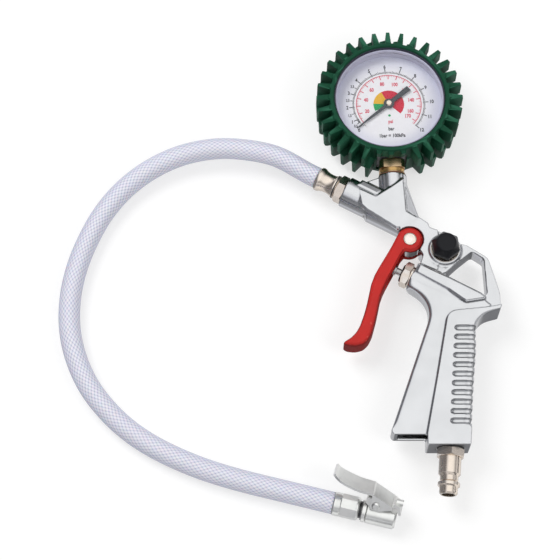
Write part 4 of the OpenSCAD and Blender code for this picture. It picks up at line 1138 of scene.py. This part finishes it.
def print_words(name, words, narrow, weight, material):
    """Printed figures, upright on the dial: (text, x, y, height of a capital)."""
    skin = bmesh.new()
    for text, x, y, height in words:
        letters = bpy.data.curves.new("letters", "FONT")
        letters.body = text
        letters.align_x = "CENTER"
        letters.align_y = "CENTER"
        letters.resolution_u = 3
        letters.offset = weight
        letters.extrude = 0.02
        holder = bpy.data.objects.new("letters", letters)
        scene.collection.objects.link(holder)
        mesh = shape_of(holder)
        bpy.data.objects.remove(holder)
        size = height / CAPITAL * MM
        mesh.transform(Matrix.Translation(on_dial(x, y, PRINT_HEIGHT))
                       @ Matrix.Rotation(math.radians(GAUGE_TURN), 4, "Z")
                       @ Matrix.Diagonal((size * narrow, size, size, 1)))
        skin.from_mesh(mesh)
    piece_from(skin, name, "pistol", material)


def figures_round(values, radius, height, spread=0.0, usual=1):
    """Figures at their places on a scale. Longer ones than usual move out by spread a letter."""
    words = []
    for text, bar in values:
        place = heading(bar_direction(bar)) * (radius + spread * (len(text) - usual))
        words.append((text, place.x, place.y, height))
    return words


def make_figures():
    bars = [(str(b), b) for b in range(1, 13)] + [("0", -0.3)]
    halves = [("0,5", 0.35), ("1,5", 1.45), ("2,5", 2.5), ("3,5", 3.5)]
    psi = [(str(p), p / PSI_IN_BAR) for p in (20, 40, 60, 80, 100, 120, 140, 160, 170)]
    print_words("bar_figures", figures_round(bars, 23.9, 2.15, 0.7), 0.85, 0.028,
                ink_black)
    print_words("half_bar_figures", figures_round(halves, 23.6, 1.7), 0.75, 0.02,
                ink_black)
    print_words("psi_figures", figures_round(psi, 13.3, 2.3, -0.3, 2), 0.78, 0.03,
                ink_rose)
    print_words("psi_word", [("psi", 0.5, -11.0, 2.3)], 0.8, 0.02, ink_rose)
    print_words("bar_words", [("bar", 0.6, -15.6, 2.2), ("1bar = 100kPa", 0.9, -19.9, 2.2)],
                0.85, 0.022, ink_black)


# half the pointer's outline: run towards the zero mark, and off to its side
POINTER_HALF = [(24.2, 0.22), (0, 1.15), (-2, 1.2), (-15.2, 1.65)]
POINTER_HUB = 3.0
POINTER_LOW = 6.9
POINTER_TOP = 7.4


def make_pointer():
    skin = bmesh.new()
    way = heading(DIAL_ZERO)
    side = Vector((-way.y, way.x, 0))
    blade = [(run, -off) for run, off in reversed(POINTER_HALF)] + POINTER_HALF
    add_plate(skin, [way * run + side * off for run, off in blade], POINTER_LOW, POINTER_TOP)
    add_plate(skin, [heading(7.5 * k) * POINTER_HUB for k in range(48)],
              POINTER_LOW - 0.02, POINTER_TOP + 0.01)
    edges = [e for e in skin.edges if len(e.link_faces) == 2 and e.calc_face_angle() > 0.5]
    bmesh.ops.bevel(skin, geom=edges, offset=0.06 * MM, offset_type="OFFSET", segments=1,
                    profile=0.5, affect="EDGES", clamp_overlap=True)
    pointer = piece_for("pointer", skin, "gauge_pointer", pointer_paint)
    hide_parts("pointer")


STOP_TURN = 4.5
STOP_REACH = 19.2
STOP_RADIUS = 0.32 * MM
STOP_HEIGHTS = (0.0, 0.6, 1.2, 1.7, 1.85, 1.9)


def make_stop_pin():
    """The wire stop that the pointer rests on."""
    place = heading(DIAL_ZERO + STOP_TURN) * STOP_REACH
    foot = on_dial(place.x, place.y)
    line = [foot + MM * height * UP for height in STOP_HEIGHTS]
    tube("pointer_stop", line, STOP_RADIUS, 12, "pistol", steel_up)


make_bar_scale()
make_psi_scale()
make_figures()
make_pointer()
make_stop_pin()


# ---- table, light and air ----
WHITE = (1, 1, 1)
TABLE_REACH = 4.0
TABLE_TOP = -0.02 * MM
# what polished metal mirrors, from straight below to straight above
TENT = ((0.0, (0.56, 0.56, 0.57)), (0.14, (0.64, 0.64, 0.65)), (0.25, (0.88, 0.88, 0.88)),
        (0.41, (0.8, 0.8, 0.81)), (0.44, (0.08, 0.08, 0.09)), (0.5, (0.04, 0.04, 0.045)),
        (0.555, (0.09, 0.09, 0.1)), (0.59, (0.8, 0.8, 0.82)), (0.665, (0.9, 0.9, 0.92)),
        (0.715, (0.2, 0.2, 0.21)), (0.8, (0.34, 0.34, 0.35)), (0.89, (0.98, 0.98, 0.98)),
        (1.0, WHITE))
TENT_FLAP = (0.09, 0.09, 0.1)
TENT_STRIP = (0.93, 0.93, 1.0)


def make_table():
    """White for what is seen, with the shadow kept, and not mirrored in the metal."""
    skin = bmesh.new()
    skin.faces.new([skin.verts.new((x * TABLE_REACH, y * TABLE_REACH, TABLE_TOP))
                    for x, y in ((-1, -1), (1, -1), (1, 1), (-1, 1))])
    mesh = bpy.data.meshes.new("table")
    skin.to_mesh(mesh)
    skin.free()
    table = bpy.data.objects.new("table", mesh)
    scene.collection.objects.link(table)
    f = new_finish("white_table")
    seen, mirrored = f.seen_plainly()
    paper = f.mix(f.noise(300), (0.78, 0.78, 0.78), (0.8, 0.8, 0.8))
    matt = f.node("ShaderNodeBsdfDiffuse", {}, {"Color": paper})
    glow = f.node("ShaderNodeEmission", {}, {"Color": WHITE, "Strength": 0.62})
    dim = f.node("ShaderNodeBsdfDiffuse", {}, {"Color": (0.42, 0.42, 0.42)})
    lit = f.node("ShaderNodeAddShader", {}, {0: glow, 1: dim})
    both = f.node("ShaderNodeMixShader", {}, {0: seen, 1: matt, 2: lit})
    clear = f.node("ShaderNodeBsdfTransparent")
    both = f.node("ShaderNodeMixShader", {}, {0: mirrored, 1: both, 2: clear})
    f.node("ShaderNodeOutputMaterial", {}, {"Surface": both})
    mesh.materials.append(f.owner)


def make_air():
    """White all round for what is seen, a softer light for what is lit, and a tent with dark
    flaps and a bright strip for the metal to mirror."""
    scene.world = bpy.data.worlds.new("studio")
    f = Finish(scene.world)
    seen, mirrored = f.seen_plainly()
    soft = f.node("ShaderNodeBackground", {}, {"Color": WHITE, "Strength": 0.5})
    white = f.node("ShaderNodeBackground", {}, {"Color": WHITE, "Strength": 1.0})
    way = f.node("ShaderNodeTexCoord", out="Generated")
    across = f.node("ShaderNodeSeparateXYZ", {}, {0: way})
    height = across.other("Z") * 0.5 + 0.5
    tent = f.node("ShaderNodeValToRGB", {"stops": TENT}, {0: height})
    tent = f.mix(f.span(across, -0.28, -0.6, 0.0, 0.8), tent, TENT_FLAP)
    strip = f.span(across, -0.36, -0.4) * f.span(across, -0.5, -0.45)
    tent = f.mix(strip * 0.8, tent, TENT_STRIP)
    around = f.node("ShaderNodeBackground", {}, {"Color": tent, "Strength": 1.15})
    both = f.node("ShaderNodeMixShader", {}, {0: seen, 1: soft, 2: white})
    both = f.node("ShaderNodeMixShader", {}, {0: mirrored, 1: both, 2: around})
    f.node("ShaderNodeOutputWorld", {}, {"Surface": both})


def add_softbox(name, place, size, watts):
    data = bpy.data.lights.new(name, "AREA")
    data.shape = "SQUARE"
    data.size = size
    data.energy = watts
    lamp = bpy.data.objects.new(name, data)
    lamp.location = Vector(place)
    lamp.visible_glossy = False
    lamp.rotation_euler = (-Vector(place)).to_track_quat("-Z", "Y").to_euler()
    scene.collection.objects.link(lamp)


make_table()
make_air()
add_softbox("key_softbox", (-0.7, 0.5, 1.1), 0.7, 9)
add_softbox("fill_softbox", (0.8, -0.5, 1.0), 0.7, 4)
